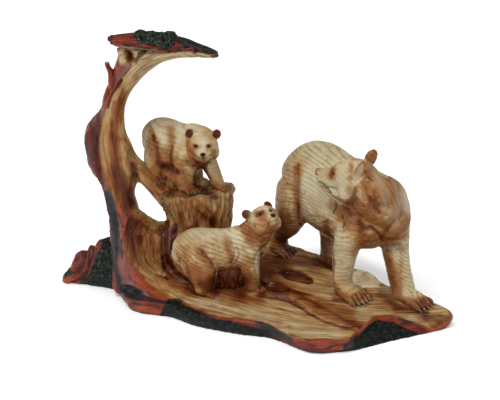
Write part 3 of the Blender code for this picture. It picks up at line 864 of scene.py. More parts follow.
def carve_base(skin):
    """Grain, bark and moss of the base: the bark is the side wall with a red edge, and moss grows in
    stretches of it below that edge."""
    x, y, z = skin.points.T
    flat = skin.points[:, :2]
    seen = skin.seen
    grain = np.column_stack([y - read_off(x, GRAIN_BEND), z * 1.5, x * 0.09])
    skin.layers["grain"] = grain
    spokes = flat - HUB
    turn = np.arctan2(spokes[:, 1], spokes[:, 0])
    edge = spline(OUTLINE, 16, closed=True) - HUB
    edge_turn, reach = np.arctan2(*edge.T[::-1]), np.hypot(*edge.T)
    order = np.argsort(edge_turn)
    rim = np.interp(turn, edge_turn[order], reach[order], period=2 * math.pi)
    inward = rim * (1 - bank_of(np.degrees(turn))) - np.hypot(*spokes.T)
    rim_place = HUB + spokes * (rim / np.maximum(np.hypot(*spokes.T), 1e-6))[:, None]
    below = top_height(*rim_place.T) - z
    ragged = torn_edge(skin.points, 9, 3.5)
    wall = ramp(inward, 2.0, 0.5 + ragged * 0.3)
    drop = seen[:, 1] - read_off(seen[:, 0], RIM_LINE)
    shown = ramp(np.cos(turn + math.pi / 3), 0.2, 0.3) * ramp(x, 80, 100)
    front = np.maximum(ramp(y, -5, -15), shown) * ramp(seen[:, 0], *RIM_START)
    bark = np.maximum(wall * (1 - front), front * ramp(drop + ragged * 0.5, -0.6, 0.6) * ramp(inward, 22, 16))
    skin.paint("bark", bark)
    moss = ramp(drop - read_off(seen[:, 0], RED_STRIP) + ragged * 1.2, -0.8, 0.8) * front
    moss = np.maximum(moss, (1 - front) * wall * ramp(noise(skin.points, 26, 8), -0.05, 0.1)
                      * ramp(below + ragged, 3, 4.5))
    skin.paint("moss", moss * bark)
    bumps = tufts(skin.points, 3.0, 0.35)
    skin.paint("tuft", ramp(bumps, 0.35, 0.7) * 0.32)
    dents = np.zeros(len(x))
    for hollow in HOLLOWS:
        depth = scoop(x, y, hollow)
        skin.paint("stain_and_shade", ramp(depth, 0.0, 0.3) * 0.62)
        skin.paint("warm", ramp(depth, 0.0, 0.3) * 0.5)
        dents += depth**0.6 * 1.5 - bell(depth, 0.04, 0.05) * 0.5
    knot, sunk = knot_on(skin)
    dents += sunk
    gap, share = crease_side(x, y)
    along_it = ramp(share, 0, 0.1)
    # Painted shade at the foot of the crease's step, and a broad warm painted shade on the plank behind it
    skin.paint("stain_and_shade", bell(gap, -2, 1.8) * along_it * 0.7)
    skin.paint("warm", bell(gap, 3, 5) * along_it * 0.5)
    skin.brush(BASE_STROKES)
    wood = 1 - bark
    rock = within(flat, (ROCK[0] + 2, ROCK[1] - 2), (15, 10)) * wood
    skin.paint("rock", ramp(rock + noise(skin.points, 5, 33) * 0.15, 0.3, 0.4)
               * (0.95 - 0.55 * ramp(noise(skin.points, 6, 35), 0.1, 0.5)))
    dents += ramp(rock, 0.3, 0.5) * np.abs(noise(skin.points, (8, 6, 6), 34)) * 2.4
    skin.paint("stain_and_shade", wood * ramp(noise(grain, (17, 17, 5), 21), 0.05, 0.6) * 0.3)
    skin.paint("stain_and_shade", wood * ramp(inward, 5, 1) * ramp(noise(skin.points, 12, 22), 0.0, 0.4) * 0.5)
    # Painted highlight in bright orange red along the rim just under its top edge
    skin.paint("warm", bark * bell(drop, 1.6, 1.2) * front * 0.7 * ramp(knot, 1.0, 1.3))
    dents += skin.creased(BASE_FOLDS)
    folds = noise(np.column_stack([turn * 60, z * 2.5, np.zeros(len(x))]), (9.0, 6, 6), 9)
    grooves = noise(grain, (3.2, 3.2, 2.6), 5)
    ridges = noise(grain, (7.5, 7.5, 3.2), 15)
    skin.push(wood * (np.abs(grooves) * 0.55 + np.abs(ridges) * 1.3 - 0.6)
              + bark * (1 - moss) * (ragged * 0.5 + folds * 1.3)
              + moss * bark * (bumps * 1.6 - 0.5) * sizes().moss_depth - dents)
    # Painted shade in the hollows of the wood, with the stain that pools there
    skin.paint("stain_and_shade", skin.hollow(14, 0.9) * 0.7 * wood)
    skin.paint("char", ramp(-folds, 0.2, 0.6) * bark * 0.7)
    # Painted highlights in pale purple on the ridges of the bark's folds
    skin.paint("mauve_and_highlight", ramp(folds, 0.35, 0.8) * bark * 0.35)
    skin.stop_at(0)


# The knot in the photograph's pixels: its middle, half length, half width and turn in degrees
KNOT_OVAL = ((132, 292.5), 12.5, 5.6, 26)


def knot_on(skin):
    """Paints the knot at the base's left end, an eye of charcoal in a lip with a painted highlight in pale
    purple on its upper side, and returns how far from its middle each point lies and how deep it is sunk."""
    close = ramp(lengths(skin.points - (*KNOT[:2], RIM_HEIGHT)), 26, 20)
    knot = oval(skin.seen, *KNOT_OVAL) * close + 9 * (1 - close)
    lip = bell(knot, 1.4, 0.22)
    across = (skin.seen - KNOT_OVAL[0]) @ (0.45, -0.9)
    skin.paint("char", ramp(knot, 1.3, 1.0))
    skin.paint("bark", ramp(knot, 1.8, 1.6))
    # Painted highlight in pale purple on the lip's upper side
    skin.paint("mauve_and_highlight", lip * ramp(across, -1, 4) * 0.9)
    return knot, ramp(knot, 1.1, 0.3) * 2.6 - lip * 0.6


# Strokes of each layer in the photograph's pixels: a path, how wide it is and how strong. Some are painted
# light: shade under the crouching cub's belly and beside the crease, and thin highlights on the crease's lit
# edge and along the rim's top edge
BASE_STROKES = {"stain_and_shade": [
    ([(238, 262), (272, 274)], 8, 0.4), ([(213, 283), (243, 291)], 9, 0.95),
    ([(256, 283), (262, 294)], 6, 0.8), ([(150, 262), (172, 272), (190, 284)], 8, 0.7),
    ([(268, 256), (290, 262), (318, 262)], 6, 0.7), ([(320, 262), (334, 268)], 6, 0.8),
    ([(196, 292), (212, 296)], 4, 0.8), ([(335, 300), (360, 303)], 4, 0.6),
    ([(396, 308), (425, 313)], 5, 0.7), ([(272, 292), (286, 298)], 5, 0.8),
    ([(290, 290), (320, 307), (345, 320), (361, 328)], 3.2, 0.6), ([(380, 294), (392, 302)], 5, 0.6),
    ([(366, 292), (372, 300)], 3, 0.5), ([(300, 272), (325, 284)], 4, 0.2),
], "warm": [
    ([(238, 262), (272, 276)], 10, 0.8), ([(160, 278), (190, 290)], 8, 0.7),
    ([(262, 262), (285, 270)], 9, 0.7), ([(300, 296), (350, 316)], 8, 0.8),
    ([(240, 318), (280, 325)], 5, 0.4), ([(160, 262), (185, 275)], 7, 0.7),
    ([(268, 281), (288, 290)], 8, 0.9), ([(222, 296), (262, 302)], 5, 0.7),
    ([(140, 282), (165, 298)], 5, 0.9), ([(138, 307), (166, 314)], 4, 1.0),
    ([(320, 346), (345, 346)], 5, 0.6), ([(430, 328), (448, 322)], 4, 0.6),
    ([(184, 292), (215, 300), (245, 306)], 4, 0.5), ([(370, 296), (395, 310)], 7, 0.6),
    ([(310, 262), (340, 292)], 8, 0.4),
], "pale": [
    ([(190, 300), (250, 314), (310, 332), (335, 334)], 6, 0.75), ([(200, 294), (240, 306)], 5, 0.6),
    ([(315, 300), (345, 316)], 5, 0.4), ([(330, 290), (365, 312)], 4, 0.4),
    ([(288, 300), (302, 308), (318, 318)], 0.9, 0.9), ([(374, 314), (392, 312), (416, 319)], 1.2, 0.6),
    ([(140, 268), (165, 286), (185, 297)], 3, 0.3), ([(300, 341), (320, 342), (345, 341)], 1.1, 0.7),
    ([(425, 322), (445, 318)], 4, 0.3),
], "char": [
    ([(258, 322), (272, 330), (290, 338)], 4.5, 1.0), ([(147, 298), (168, 304), (186, 309)], 1.5, 0.75),
    ([(430, 338), (446, 330)], 3, 0.5), ([(118, 296), (130, 308)], 3, 0.7),
    ([(148, 276), (160, 288)], 2.5, 0.5), ([(345, 346), (356, 338)], 3, 0.8),
    ([(290, 348), (318, 353), (348, 352)], 4.5, 0.75),
    ([(366, 322), (380, 316), (396, 316), (422, 325)], 3.5, 0.4),
]}
# Folds of the wood where the trunk's roots run into it: a path, its width, its depth and its darkness,
# partly stain and partly painted shade in the fold
BASE_FOLDS = [
    ([(163, 258), (166, 268), (173, 277)], 1.3, 1.3, 0.7),
    ([(169, 258), (173, 266), (181, 275)], 1.3, 1.3, 0.7),
    ([(176, 262), (181, 270), (187, 279)], 1.2, 1.0, 0.8),
    ([(183, 268), (188, 276), (195, 283)], 1.3, 1.0, 0.9),
    ([(151, 262), (158, 271), (168, 279)], 1.4, 0.8, 0.6),
    ([(362, 273), (368, 279), (372, 287)], 0.8, 0.7, 0.3),
    ([(356, 277), (360, 284), (366, 291)], 1.0, 0.7, 0.5),
    ([(287, 301), (302, 309), (318, 319)], 1.0, 0.7, 0.4),
]


# The tree and stump, drawn in their facing plane. The rows of a tube are x to the right, y away, z up, and
# its half width and half depth there. The lump and the foliage are balls, with their three half sizes.

TRUNK = [(-80, 21, -4, 22, 17), (-84, 20, 14, 19, 17), (-89, 19, 32, 16, 16), (-92.5, 18, 46, 13.5, 14),
         (-93.5, 18, 58, 11.5, 12.5), (-95.5, 18, 70, 11.3, 12), (-97, 18, 81, 10.6, 11.5),
         (-97, 18, 95, 13.5, 11), (-99, 18, 112, 14, 10.5), (-101, 18, 126, 10.5, 10),
         (-100.5, 18, 138, 8.5, 9.5), (-98.5, 18, 150, 7.8, 9), (-94, 18, 162, 8, 9.5),
         (-86.5, 18, 173, 8.5, 11), (-77, 18, 182, 8.5, 13), (-64, 18, 188, 6.5, 15), (-50, 18, 190, 5, 14),
         (-37, 18, 189, 3.6, 12), (-26, 18, 187, 2.6, 8)]
BARK_WING = [(-99.5, 20, 158, 2.2, 6), (-103, 22, 148, 3.4, 8), (-107.5, 23, 139, 4.6, 9),
             (-113.5, 23, 130, 5.8, 10), (-116, 23, 119, 6.5, 11), (-112.5, 23, 102, 6.5, 11),
             (-106, 22, 90, 5.5, 11), (-103, 21, 76, 5, 11), (-100, 20, 60, 5.5, 13), (-98, 19, 44, 7, 14),
             (-97, 19, 28, 8, 14), (-95, 19, 8, 9, 15)]
CANOPY = [(-100, 18, 199, 1.6, 6), (-96, 18, 197.4, 3.6, 9), (-90, 18, 197, 4.2, 12),
          (-80, 19, 196.8, 4.6, 16), (-68, 19, 196, 5, 17), (-56, 19, 194, 5.4, 15),
          (-46, 18, 193, 4.4, 13), (-38, 18, 190.8, 3.4, 11), (-30, 18, 188.8, 2.6, 9),
          (-24.5, 18, 187, 2, 6)]
CROWN = [(-97, 18, 158, 5.5, 8), (-94, 18, 168, 6, 9), (-90, 18, 177, 7.5, 10.5), (-86, 18, 185, 9.5, 12),
         (-84, 18, 189, 10.5, 12.5)]
STUB = [(-97, 16, 157, 4.4, 6), (-98.5, 15, 167, 2.8, 4.5), (-100.6, 15, 175, 2.1, 3),
        (-102.6, 15, 181, 1.6, 2)]
FOLIAGE = [(-78, 14, 201.5, 4.5, 8, 3.6), (-71.5, 17, 200.6, 5, 9, 2.8), (-64, 17, 199.5, 5, 9, 2.8),
           (-57.5, 14, 199.8, 5.5, 8, 4.4)]
PERCH = [(-71, 25, 84, 4, 8), (-64, 25, 84, 6, 9), (-56, 26, 88, 8, 9), (-47, 27, 84, 9, 9),
         (-40, 28, 78, 8, 9)]
BRIDGE = [(-97, 18, 115, 9, 10), (-89, 18, 104.5, 8, 10), (-80, 20, 96.5, 6.6, 10.5),
          (-68, 22, 82.5, 7, 12), (-57, 24, 70, 9.5, 14), (-52, 24, 58, 10.5, 14)]
WEB = [(-92, 19, 22, 18, 14), (-82, 20, 29, 19, 14), (-72, 22, 33, 19, 13), (-56, 23, 36, 18, 13)]
WEB_TOP = [(-93, 19, 66, 7, 10), (-84.5, 19, 58, 8, 11), (-75, 20, 49.5, 9, 12), (-66, 22, 46, 9.6, 12),
           (-56, 23, 47, 9.6, 13)]
SKIRT = [(-98, 12, 13, 12, 8), (-86, 9, 12, 12, 9), (-72, 11, 12, 10, 9), (-58, 16, 11, 9, 9)]
LUMP = (-37.5, 24, 86, 8, 8, 6)
ROOT_MOUND = [(-96, 32, 16, 24, 16), (-108, 36, 15, 22, 16), (-118, 39, 12, 18, 15), (-128, 41, 9, 15, 13),
              (-137, 40, 6, 10, 9), (-144, 38, 3.5, 5, 5)]
STUMP = [(-36, 24, -4, 27, 23), (-36, 24, 12, 25, 21), (-36, 24, 30, 22.5, 18), (-37, 24, 46, 22.5, 16),
         (-38, 24, 60, 24.5, 16), (-39, 24, 72, 27.5, 17.5), (-40, 24, 80, 28.5, 17.5)]
STUMP_HEIGHT = 85
LIMBS = (TRUNK, BARK_WING, CROWN, STUB, WEB, WEB_TOP, SKIRT, BRIDGE, PERCH)
FACING = framing((0, 0, 0), VIEW_TURN)
# Wood that lies hidden in the base stops this high
FOOT = 3


def in_plane(rows, **more):
    """A tube from rows drawn in the facing plane."""
    swapped = [(x, y, z, deep, wide) for x, y, z, wide, deep in rows]
    return moved(tube(swapped, **more), FACING)


def faced(points):
    """Points or normals of the frame in the facing plane."""
    return seen_from(points, FACING)


def grain_of(points, limbs):
    """Where each point lies in the wood of the limb that it is nearest to, by distance over radius: two
    offsets across the limb, and the way along it, shortened so that streaks run along."""
    flat = faced(points)
    nearest = np.full(len(flat), 1e9)
    grain = np.zeros_like(flat)
    for number, rows in enumerate(limbs):
        path = spline(rows, 5)
        centres = path[:, :3]
        tangents = normed(np.gradient(centres, axis=0))
        length = np.concatenate([[0], np.cumsum(lengths(np.diff(centres, axis=0)))])
        for centre, tangent, way, radius in zip(centres, tangents, length, path[:, 3:].mean(1)):
            offset = flat - centre
            share = lengths(offset) / radius
            near = share < nearest
            nearest[near] = share[near]
            forward = offset[near] @ tangent
            across = np.cross(tangent, Y_AXIS)
            grain[near] = np.column_stack([offset[near] @ across, offset[near, 1],
                                           (way + forward) * 0.11 + number * 40])
    return grain


# The wood's border with the bark in the photograph's pixels: down the trunk, and on along the base's rim
BARK_EDGE = [(131.3, 65), (119.7, 80), (110.5, 95.5), (106, 110.5), (102.6, 123), (100.8, 140),
             (100.8, 155), (102.6, 165), (107.6, 186), (113, 197), (124.7, 212), (127.9, 220.5),
             (123.7, 235), (124.7, 252), (132, 266), (142, 274), (153, 281), (175, 295), (190, 306)]
TREE_STROKES = {"stain_and_shade": [
    ([(134.5, 165), (135.5, 178)], 4.5, 0.9), ([(118, 175), (126, 190), (131, 203)], 9, 0.85),
    ([(130, 222), (134, 256)], 10, 0.75), ([(162, 228), (164, 256)], 4, 0.8),
    ([(167, 222), (166.6, 250), (168, 264)], 2, 1.0), ([(175, 226), (175, 258)], 3, 0.9),
    ([(164, 258), (176, 268)], 4, 0.35), ([(200, 189), (215, 197)], 4, 0.9),
    ([(112, 135), (115, 165)], 5, 0.5), ([(126.5, 51.5), (131, 60)], 5, 1.0),
    ([(121, 80), (112, 94), (107, 107)], 1.4, 1.0), ([(176, 205), (185, 240)], 7, 0.3),
    ([(196, 215), (214, 226)], 8, 0.55), ([(160, 166), (176, 176)], 6, 0.7),
    ([(150, 190), (165, 213)], 1.8, 0.7), ([(163, 258), (166, 270), (176, 280)], 1.6, 0.9),
    ([(186, 230), (196, 228)], 5, 0.6), ([(169, 257), (173, 268), (183, 277)], 1.6, 0.9),
    ([(176, 184), (205, 191)], 4, 0.6), ([(117, 55), (120, 72)], 3, 0.5), ([(122, 70), (117, 84)], 3, 0.4),
    ([(121, 86), (114, 112)], 7, 0.45), ([(139, 222), (152, 232), (166, 226)], 4, 0.5),
], "warm": [
    ([(119, 206), (122.5, 218), (122, 236)], 1.5, 0.9), ([(122, 262), (134, 280)], 7, 1.0),
    ([(119, 105), (114, 128), (116, 165)], 6, 0.9), ([(150, 188), (163, 212)], 5, 0.5),
    ([(123, 92), (119, 118)], 4, 0.8), ([(180, 190), (190, 235)], 12, 0.3),
    ([(131, 65), (119.7, 80), (110.5, 95.5), (105, 108)], 1.3, 1.0), ([(128, 222), (150, 252)], 14, 0.8),
    ([(170, 172), (192, 176)], 6, 0.8), ([(166, 262), (180, 280)], 6, 0.8),
    ([(113, 180), (128, 205)], 9, 0.8), ([(200, 205), (216, 225)], 9, 0.6),
    ([(146, 168), (158, 184)], 6, 0.6), ([(160, 185), (176, 195)], 5, 0.8),
    ([(197, 171), (193, 176)], 2, 1.0),
], "pale": [
    ([(119.5, 50), (121.5, 64)], 1.8, 1.0), ([(137.5, 50), (133, 66)], 2.0, 1.0),
    ([(150, 51), (139, 66)], 1.8, 0.9), ([(150, 56), (180, 55), (215, 57)], 4, 0.35),
    ([(115, 199), (126, 212)], 2, 0.8), ([(140, 162), (152, 176)], 3, 0.3),
    ([(124, 70), (116, 100), (112, 130)], 2, 0.3), ([(196, 176), (204, 184)], 5, 0.9),
    ([(173, 195), (215, 201)], 2.5, 0.6), ([(125, 60), (128, 70)], 2.5, 0.5),
], "char": [
    ([(115, 252), (120, 268), (124, 280)], 4.5, 0.38),
    ([(108, 194), (113, 212), (115, 226), (115, 242), (112, 256)], 4.6, 1.0),
    ([(112, 252), (116, 268), (120, 284)], 3.2, 0.8), ([(119.5, 214), (123, 226)], 1.5, 0.6),
    ([(86, 132), (87, 158)], 3, 0.9), ([(116, 74), (113, 88)], 1.8, 0.6), ([(92, 120), (94, 160)], 3, 0.5),
    ([(121.5, 240), (122.5, 258)], 1.5, 0.6),
], "mauve_and_highlight": [
    ([(121, 222), (121, 245)], 1.6, 0.6), ([(128, 66), (120, 78)], 4, 0.9),
    ([(170.5, 228), (170, 252)], 2.4, 1.0), ([(118, 240), (121, 262), (127, 280)], 8, 0.85),
    ([(102, 172), (112, 205)], 2.0, 0.6), ([(96, 120), (99, 150)], 3, 0.6),
]}
# A splinter of bark between the trunk's roots
BARK_SPLINTER = [(170.5, 228), (170, 252)]
# Dents are positive and ridges negative: a path, its width, its depth in units
TREE_DENTS = [
    ([(134, 165), (135, 178)], 4, 3.0), ([(128, 51.5), (131, 61)], 4.2, 6),
    ([(119.5, 49), (121.5, 62)], 1.3, -2.2), ([(137.5, 50), (133, 64)], 1.4, -2.4),
    ([(150, 51), (139, 64)], 1.6, -1.8), ([(124.5, 50), (127, 60)], 1.0, -1.8),
    ([(131, 65), (119.7, 80), (105, 108)], 1.3, -1.4), ([(121, 80), (112, 94), (107, 107)], 1.4, 1.6),
    ([(163, 258), (166, 270), (176, 280)], 1.6, 1.6), ([(169, 257), (173, 268), (183, 277)], 1.6, 1.6),
    ([(125.5, 222), (125, 250)], 1.6, -1.2),
    ([(110, 199), (114.5, 212), (116.5, 228), (115.5, 246)], 3.4, 1.8),
    ([(118.5, 200), (122, 215), (121, 240)], 1.6, -0.9), ([(114, 68), (114, 90)], 1.4, 1.4),
    ([(170.5, 228), (169.5, 250)], 1.8, -1.6), ([(174, 226), (173, 250)], 1.6, 1.4),
    ([(167, 222), (166.6, 250), (168, 264)], 1.8, 1.6), ([(142, 232), (146, 258), (158, 272)], 2.2, 1.1),
    ([(152, 236), (156, 258), (166, 270)], 1.6, 0.9),
    ([(134, 240), (138, 262), (152, 275), (172, 286)], 1.3, 0.9), ([(196, 214), (214, 226)], 8, 2.0),
    ([(186, 196), (196, 212), (207, 222)], 2, 1.2), ([(180, 196), (186, 214)], 1.6, 1.0),
    ([(196, 200), (210, 214)], 1.6, 0.9), ([(206, 198), (220, 208)], 1.4, 0.8),
    ([(112, 120), (110, 150), (114, 185)], 2.5, 0.8), ([(121, 100), (118, 130), (122, 160)], 2.5, 0.7),
    ([(178, 190), (205, 193)], 1.5, 0.8),
]


def carve_tree(skin):
    """The trunk, bridge, web and stump: bark on the outer side, grooved wood elsewhere. At the trunk's foot
    the grain runs down and then turns right along the base: it follows the level lines of a smooth maximum,
    k log(e^(-a/k) + e^(-b/k)), with a the way in from the left and b the way up."""
    flat = faced(skin.points)
    low = ramp(flat[:, 2], 72, 60) * ramp(flat[:, 0], -104, -98)
    forks = np.maximum(low, within(flat, (-86, 18, 104), (14, 30, 20)))
    skin.ease(120, forks * ramp(flat[:, 0], -52, -60))
    x, y, z = faced(skin.points).T
    grain = skin.blurred(grain_of(skin.points, [TRUNK, BRIDGE, STUMP, BARK_WING]), 12)
    skin.layers["grain"] = grain
    across, up = x + 108, (z - 3) * 1.6
    turned = 15.5 + 7 * np.logaddexp(-across / 7, -up / 7)
    foot = ramp(z, 72, 48) * ramp(x, -61, -62.5)
    swept = np.column_stack([turned, y, (across - up) * 0.08])
    grain += (swept - grain) * foot[:, None]
    seen = skin.seen
    edge = spline(BARK_EDGE, 8)
    line = np.interp(seen[:, 1], edge[:, 1], edge[:, 0])
    ragged = torn_edge(skin.points, 8, 3)
    back = np.clip(faced(skin.normals)[:, 1], 0, 1)
    outer = line - seen[:, 0] + 11 * back
    bark = ramp(outer + ragged * 0.4, -0.5, 0.7) * ramp(x, -70, -74) * ramp(z, 184, 180)
    skin.paint("bark", np.maximum(bark, ramp(skin.stroke(BARK_SPLINTER, 2.6), 0.3, 0.6)))
    skin.brush(TREE_STROKES)
    skin.paint("pale", ramp(z, 160, 182) * (1 - bark) * 0.7)
    skin.paint("warm", ramp(z, 160, 110) * 0.3)
    swirl = grain.copy()
    swirl[:, 0] += z * 0.25 * ramp(x, -50, -20)
    flutes = np.abs(noise(swirl, (6.5, 6.5, 4.5), 5))
    fine = np.abs(noise(grain, (1.8, 1.8, 1.6), 6))
    stump = ramp(x, -72, -60) * ramp(z, 92, 84)
    web = ramp(x, -92, -80) * ramp(z, 60, 45)
    rough = 0.3 + 0.9 * np.maximum(stump * 1.6, web * 0.5)
    rough *= 1 - 0.9 * bell(x, -62, 3.5) * ramp(z, 66, 55)
    crest = stump * ramp(flutes, 0.15, 0.0)
    lip = stump * bell(z, 79, 4) * (0.6 + noise(skin.points, 7, 12) * 1.6)
    _, hollows = knot_on(skin)
    for path, width, depth in TREE_DENTS:
        hollows += skin.stroke(path, width) * depth
    folds = noise(grain, (7.0, 7.0, 2.0), 8)
    skin.push((1 - bark) * rough * (0.55 - flutes * 2.2 - fine * 0.8) + lip * 1.6
              + bark * (sizes().bark_depth + ragged * 0.4 + folds * 0.9) - hollows)
    # Painted highlights on the crests of the stump's flutes
    skin.paint("pale", crest * ramp(noise(skin.points, 14, 17), -0.4, 0.1) * 0.9)
    skin.paint("pale", np.clip(lip, 0, 1) * 0.5)
    # Painted shade in the hollows of the wood, with the stain that pools there
    skin.paint("stain_and_shade", skin.hollow(12, 1.1) * (0.8 - 0.3 * stump) * (1 - bark))
    # Painted highlights in bright orange red on the ridges of the bark's folds
    skin.paint("warm", ramp(folds, 0.2, 0.7) * bark * 0.5)
    skin.paint("mauve_and_highlight", ramp(noise(skin.points, 18, 14), 0.0, 0.5) * bark * ramp(z, 40, 90) * 0.7)
    skin.paint("char", ramp(-folds, 0.25, 0.7) * bark * 0.45)
    skin.stop_at(FOOT)


# The lower edge of the leaves on the canopy: how far right, and how high
LEAF_EDGE = [(-83, 204), (-79, 199), (-74, 198), (-66, 196), (-59, 194.5), (-53.5, 196), (-52, 206)]


def carve_canopy(skin):
    """The canopy: torn layers of bark under dark leaves, with a bare wing on the left."""
    flat = faced(skin.points)
    x, _, z = flat.T
    skin.layers["grain"] = flat * (0.12, 1, 1)
    ragged = torn_edge(skin.points, 7, 2.6, 0.6)
    up = skin.normals[:, 2]
    under = ramp(-up, 0.5, 0.75) * ramp(x, -96, -92)
    skin.paint("bark", 1 - under * 0.9)
    skin.paint("pale", under * 0.9)
    crest = read_off(x, LEAF_EDGE)
    leaves = ramp(z - crest + ragged * 0.8, -0.4, 0.6) * ramp(up, -0.6, -0.2)
    skin.paint("moss", leaves)
    bumps = tufts(skin.points)
    skin.paint("tuft", ramp(bumps, 0.3, 0.6))
    torn = (z + noise(skin.points, 11, 6) * 2.2) / 2.4
    layers = torn - np.floor(torn)
    wall = ramp(0.85 - np.abs(up), 0, 0.3) * (1 - leaves)
    moss = leaves * (bumps * 2.2 - 0.6) * sizes().moss_depth
    skin.push(wall * (ragged * 0.9 + (layers - 0.5) * 1.7) + moss)
    skin.paint("moss", ramp(x, -54, -50) * ramp(up + ragged * 0.5, 0.55, 0.8))
    skin.paint("char", ramp(layers, 0.3, 0.0) * wall * 0.9)
    # Painted highlights in bright orange red on the outer edges of the torn layers
    skin.paint("warm", ramp(layers, 0.6, 0.95) * wall * 0.5)
    skin.paint("char", ramp(noise(skin.points, 6, 9), 0.1, 0.4) * 0.6)
    skin.paint("mauve_and_highlight", ramp(noise(skin.points, 14, 10), 0.1, 0.5) * 0.6 * ramp(x, -80, -90))


# The border of the root's moss, down the photograph's pixels: row, column
ROOT_BORDER = [(240, 101), (262, 95), (285, 80)]


def carve_root(skin):
    """The root that runs out to the left: red folds that climb from its tip, then a mossy lump."""
    flat = faced(skin.points)
    x, _, z = flat.T
    skin.layers["grain"] = flat
    ragged = torn_edge(skin.points, 8, 3)
    skin.paint("bark", 1.0)
    moss = ramp(skin.seen[:, 0] - read_off(skin.seen[:, 1], ROOT_BORDER) + ragged * 3, -2, 2)
    skin.paint("moss", moss)
    bumps = tufts(skin.points)
    skin.paint("tuft", ramp(bumps, 0.35, 0.7) * 0.7)
    folds = np.sin(x * 0.7 - z * 0.42 + noise(skin.points, 20, 5) * 5.5)
    skin.push((1 - moss) * (folds * 1.4 + ragged * 0.8) + moss * (bumps * 2.2 - 0.6))
    skin.paint("char", ramp(-folds, 0.55, 1.0) * 0.8 * (1 - moss))
    # Painted highlights in pale purple on the ridges of the folds
    skin.paint("mauve_and_highlight", ramp(folds, 0.7, 1.0) * 0.4 * ramp(z, 10, 20))
    skin.paint("warm", ramp(z + ragged * 3, 12, 3) * 0.9 * (1 - moss))
    skin.stop_at(0)


# The bears. x is forward, y to the bear's left, z up from the ground under its middle. The rows of a tube are
# x, y, z, and its half width and half height there.

# The toes and the gaps between them, across a paw, and how deep a paw sinks into the ground
TOES = (-6.4, -3.2, 0, 3.2, 6.4)
TOE_GAPS = (-4.8, -1.6, 1.6, 4.8)
PAW_SINK = 1.2
# The head size that the fur strokes are drawn for
FUR_HEAD = 0.87
# The middle of the face and of the skull, in the head's frame
MUZZLE = (6, 0, -2)
SKULL = (4, 0, -2)


def ear_frame(ear):
    """The frame of an ear on a head: x out of its cup, z to its tip. An ear is (x, y, z, how far its cup
    turns out and how far it leans out in degrees, half thickness, half width, half height)."""
    x, y, z, outward, lean = ear[:5]
    return framing((x, y, z), outward, roll=lean)


def head_shells(frame, look):
    """A bear's head in its own frame, x to the nose and z to the crown, for a skull 24 units wide."""
    shells = [tube(look["skull"], around=40, cap=0.6), tube(look["jaw"], cap=0.7)]
    shells += [ball(*row) for row in look["lobes"]]
    shells += [moved(ball(0, 0, 0, *ear[5:]), ear_frame(ear)) for ear in look["ears"]]
    return [moved(shell, frame) for shell in shells]


def paw_shells(frame, size):
    """A flat paw that points along x, with five toes."""
    pad = [(-8, 0, 4.5, 6.5, 4.6), (-1, 0, 4.2, 7.6, 4.9), (5, 0, 3.2, 7.2, 3.6)]
    shells = [tube(np.array(pad) * size, cap=0.7)]
    for spread in TOES:
        toe = np.array([(3, spread, 3.4, 1.7, 2.2), (7, spread * 1.04, 3.0, 1.75, 2.2),
                        (10.2 - abs(spread) * 0.25, spread * 1.08, 1.9, 1.5, 1.6)])
        shells.append(tube(toe * size, around=14, per_span=4, cap=0.9))
    return [moved(shell, frame) for shell in shells]


def claw_shells(frame, size):
    """A short curved claw on every toe."""
    shells = []
    for spread in TOES:
        x = 11.0 - abs(spread) * 0.25
        claw = np.array([(x - 1.2, spread * 1.08, 2.3, 0.75, 0.75), (x + 0.6, spread * 1.1, 1.9, 0.6, 0.6),
                         (x + 2.0, spread * 1.12, 0.9, 0.25, 0.3)])
        shells.append(moved(tube(claw * size, around=8, per_span=3, cap=0.8), frame))
    return shells


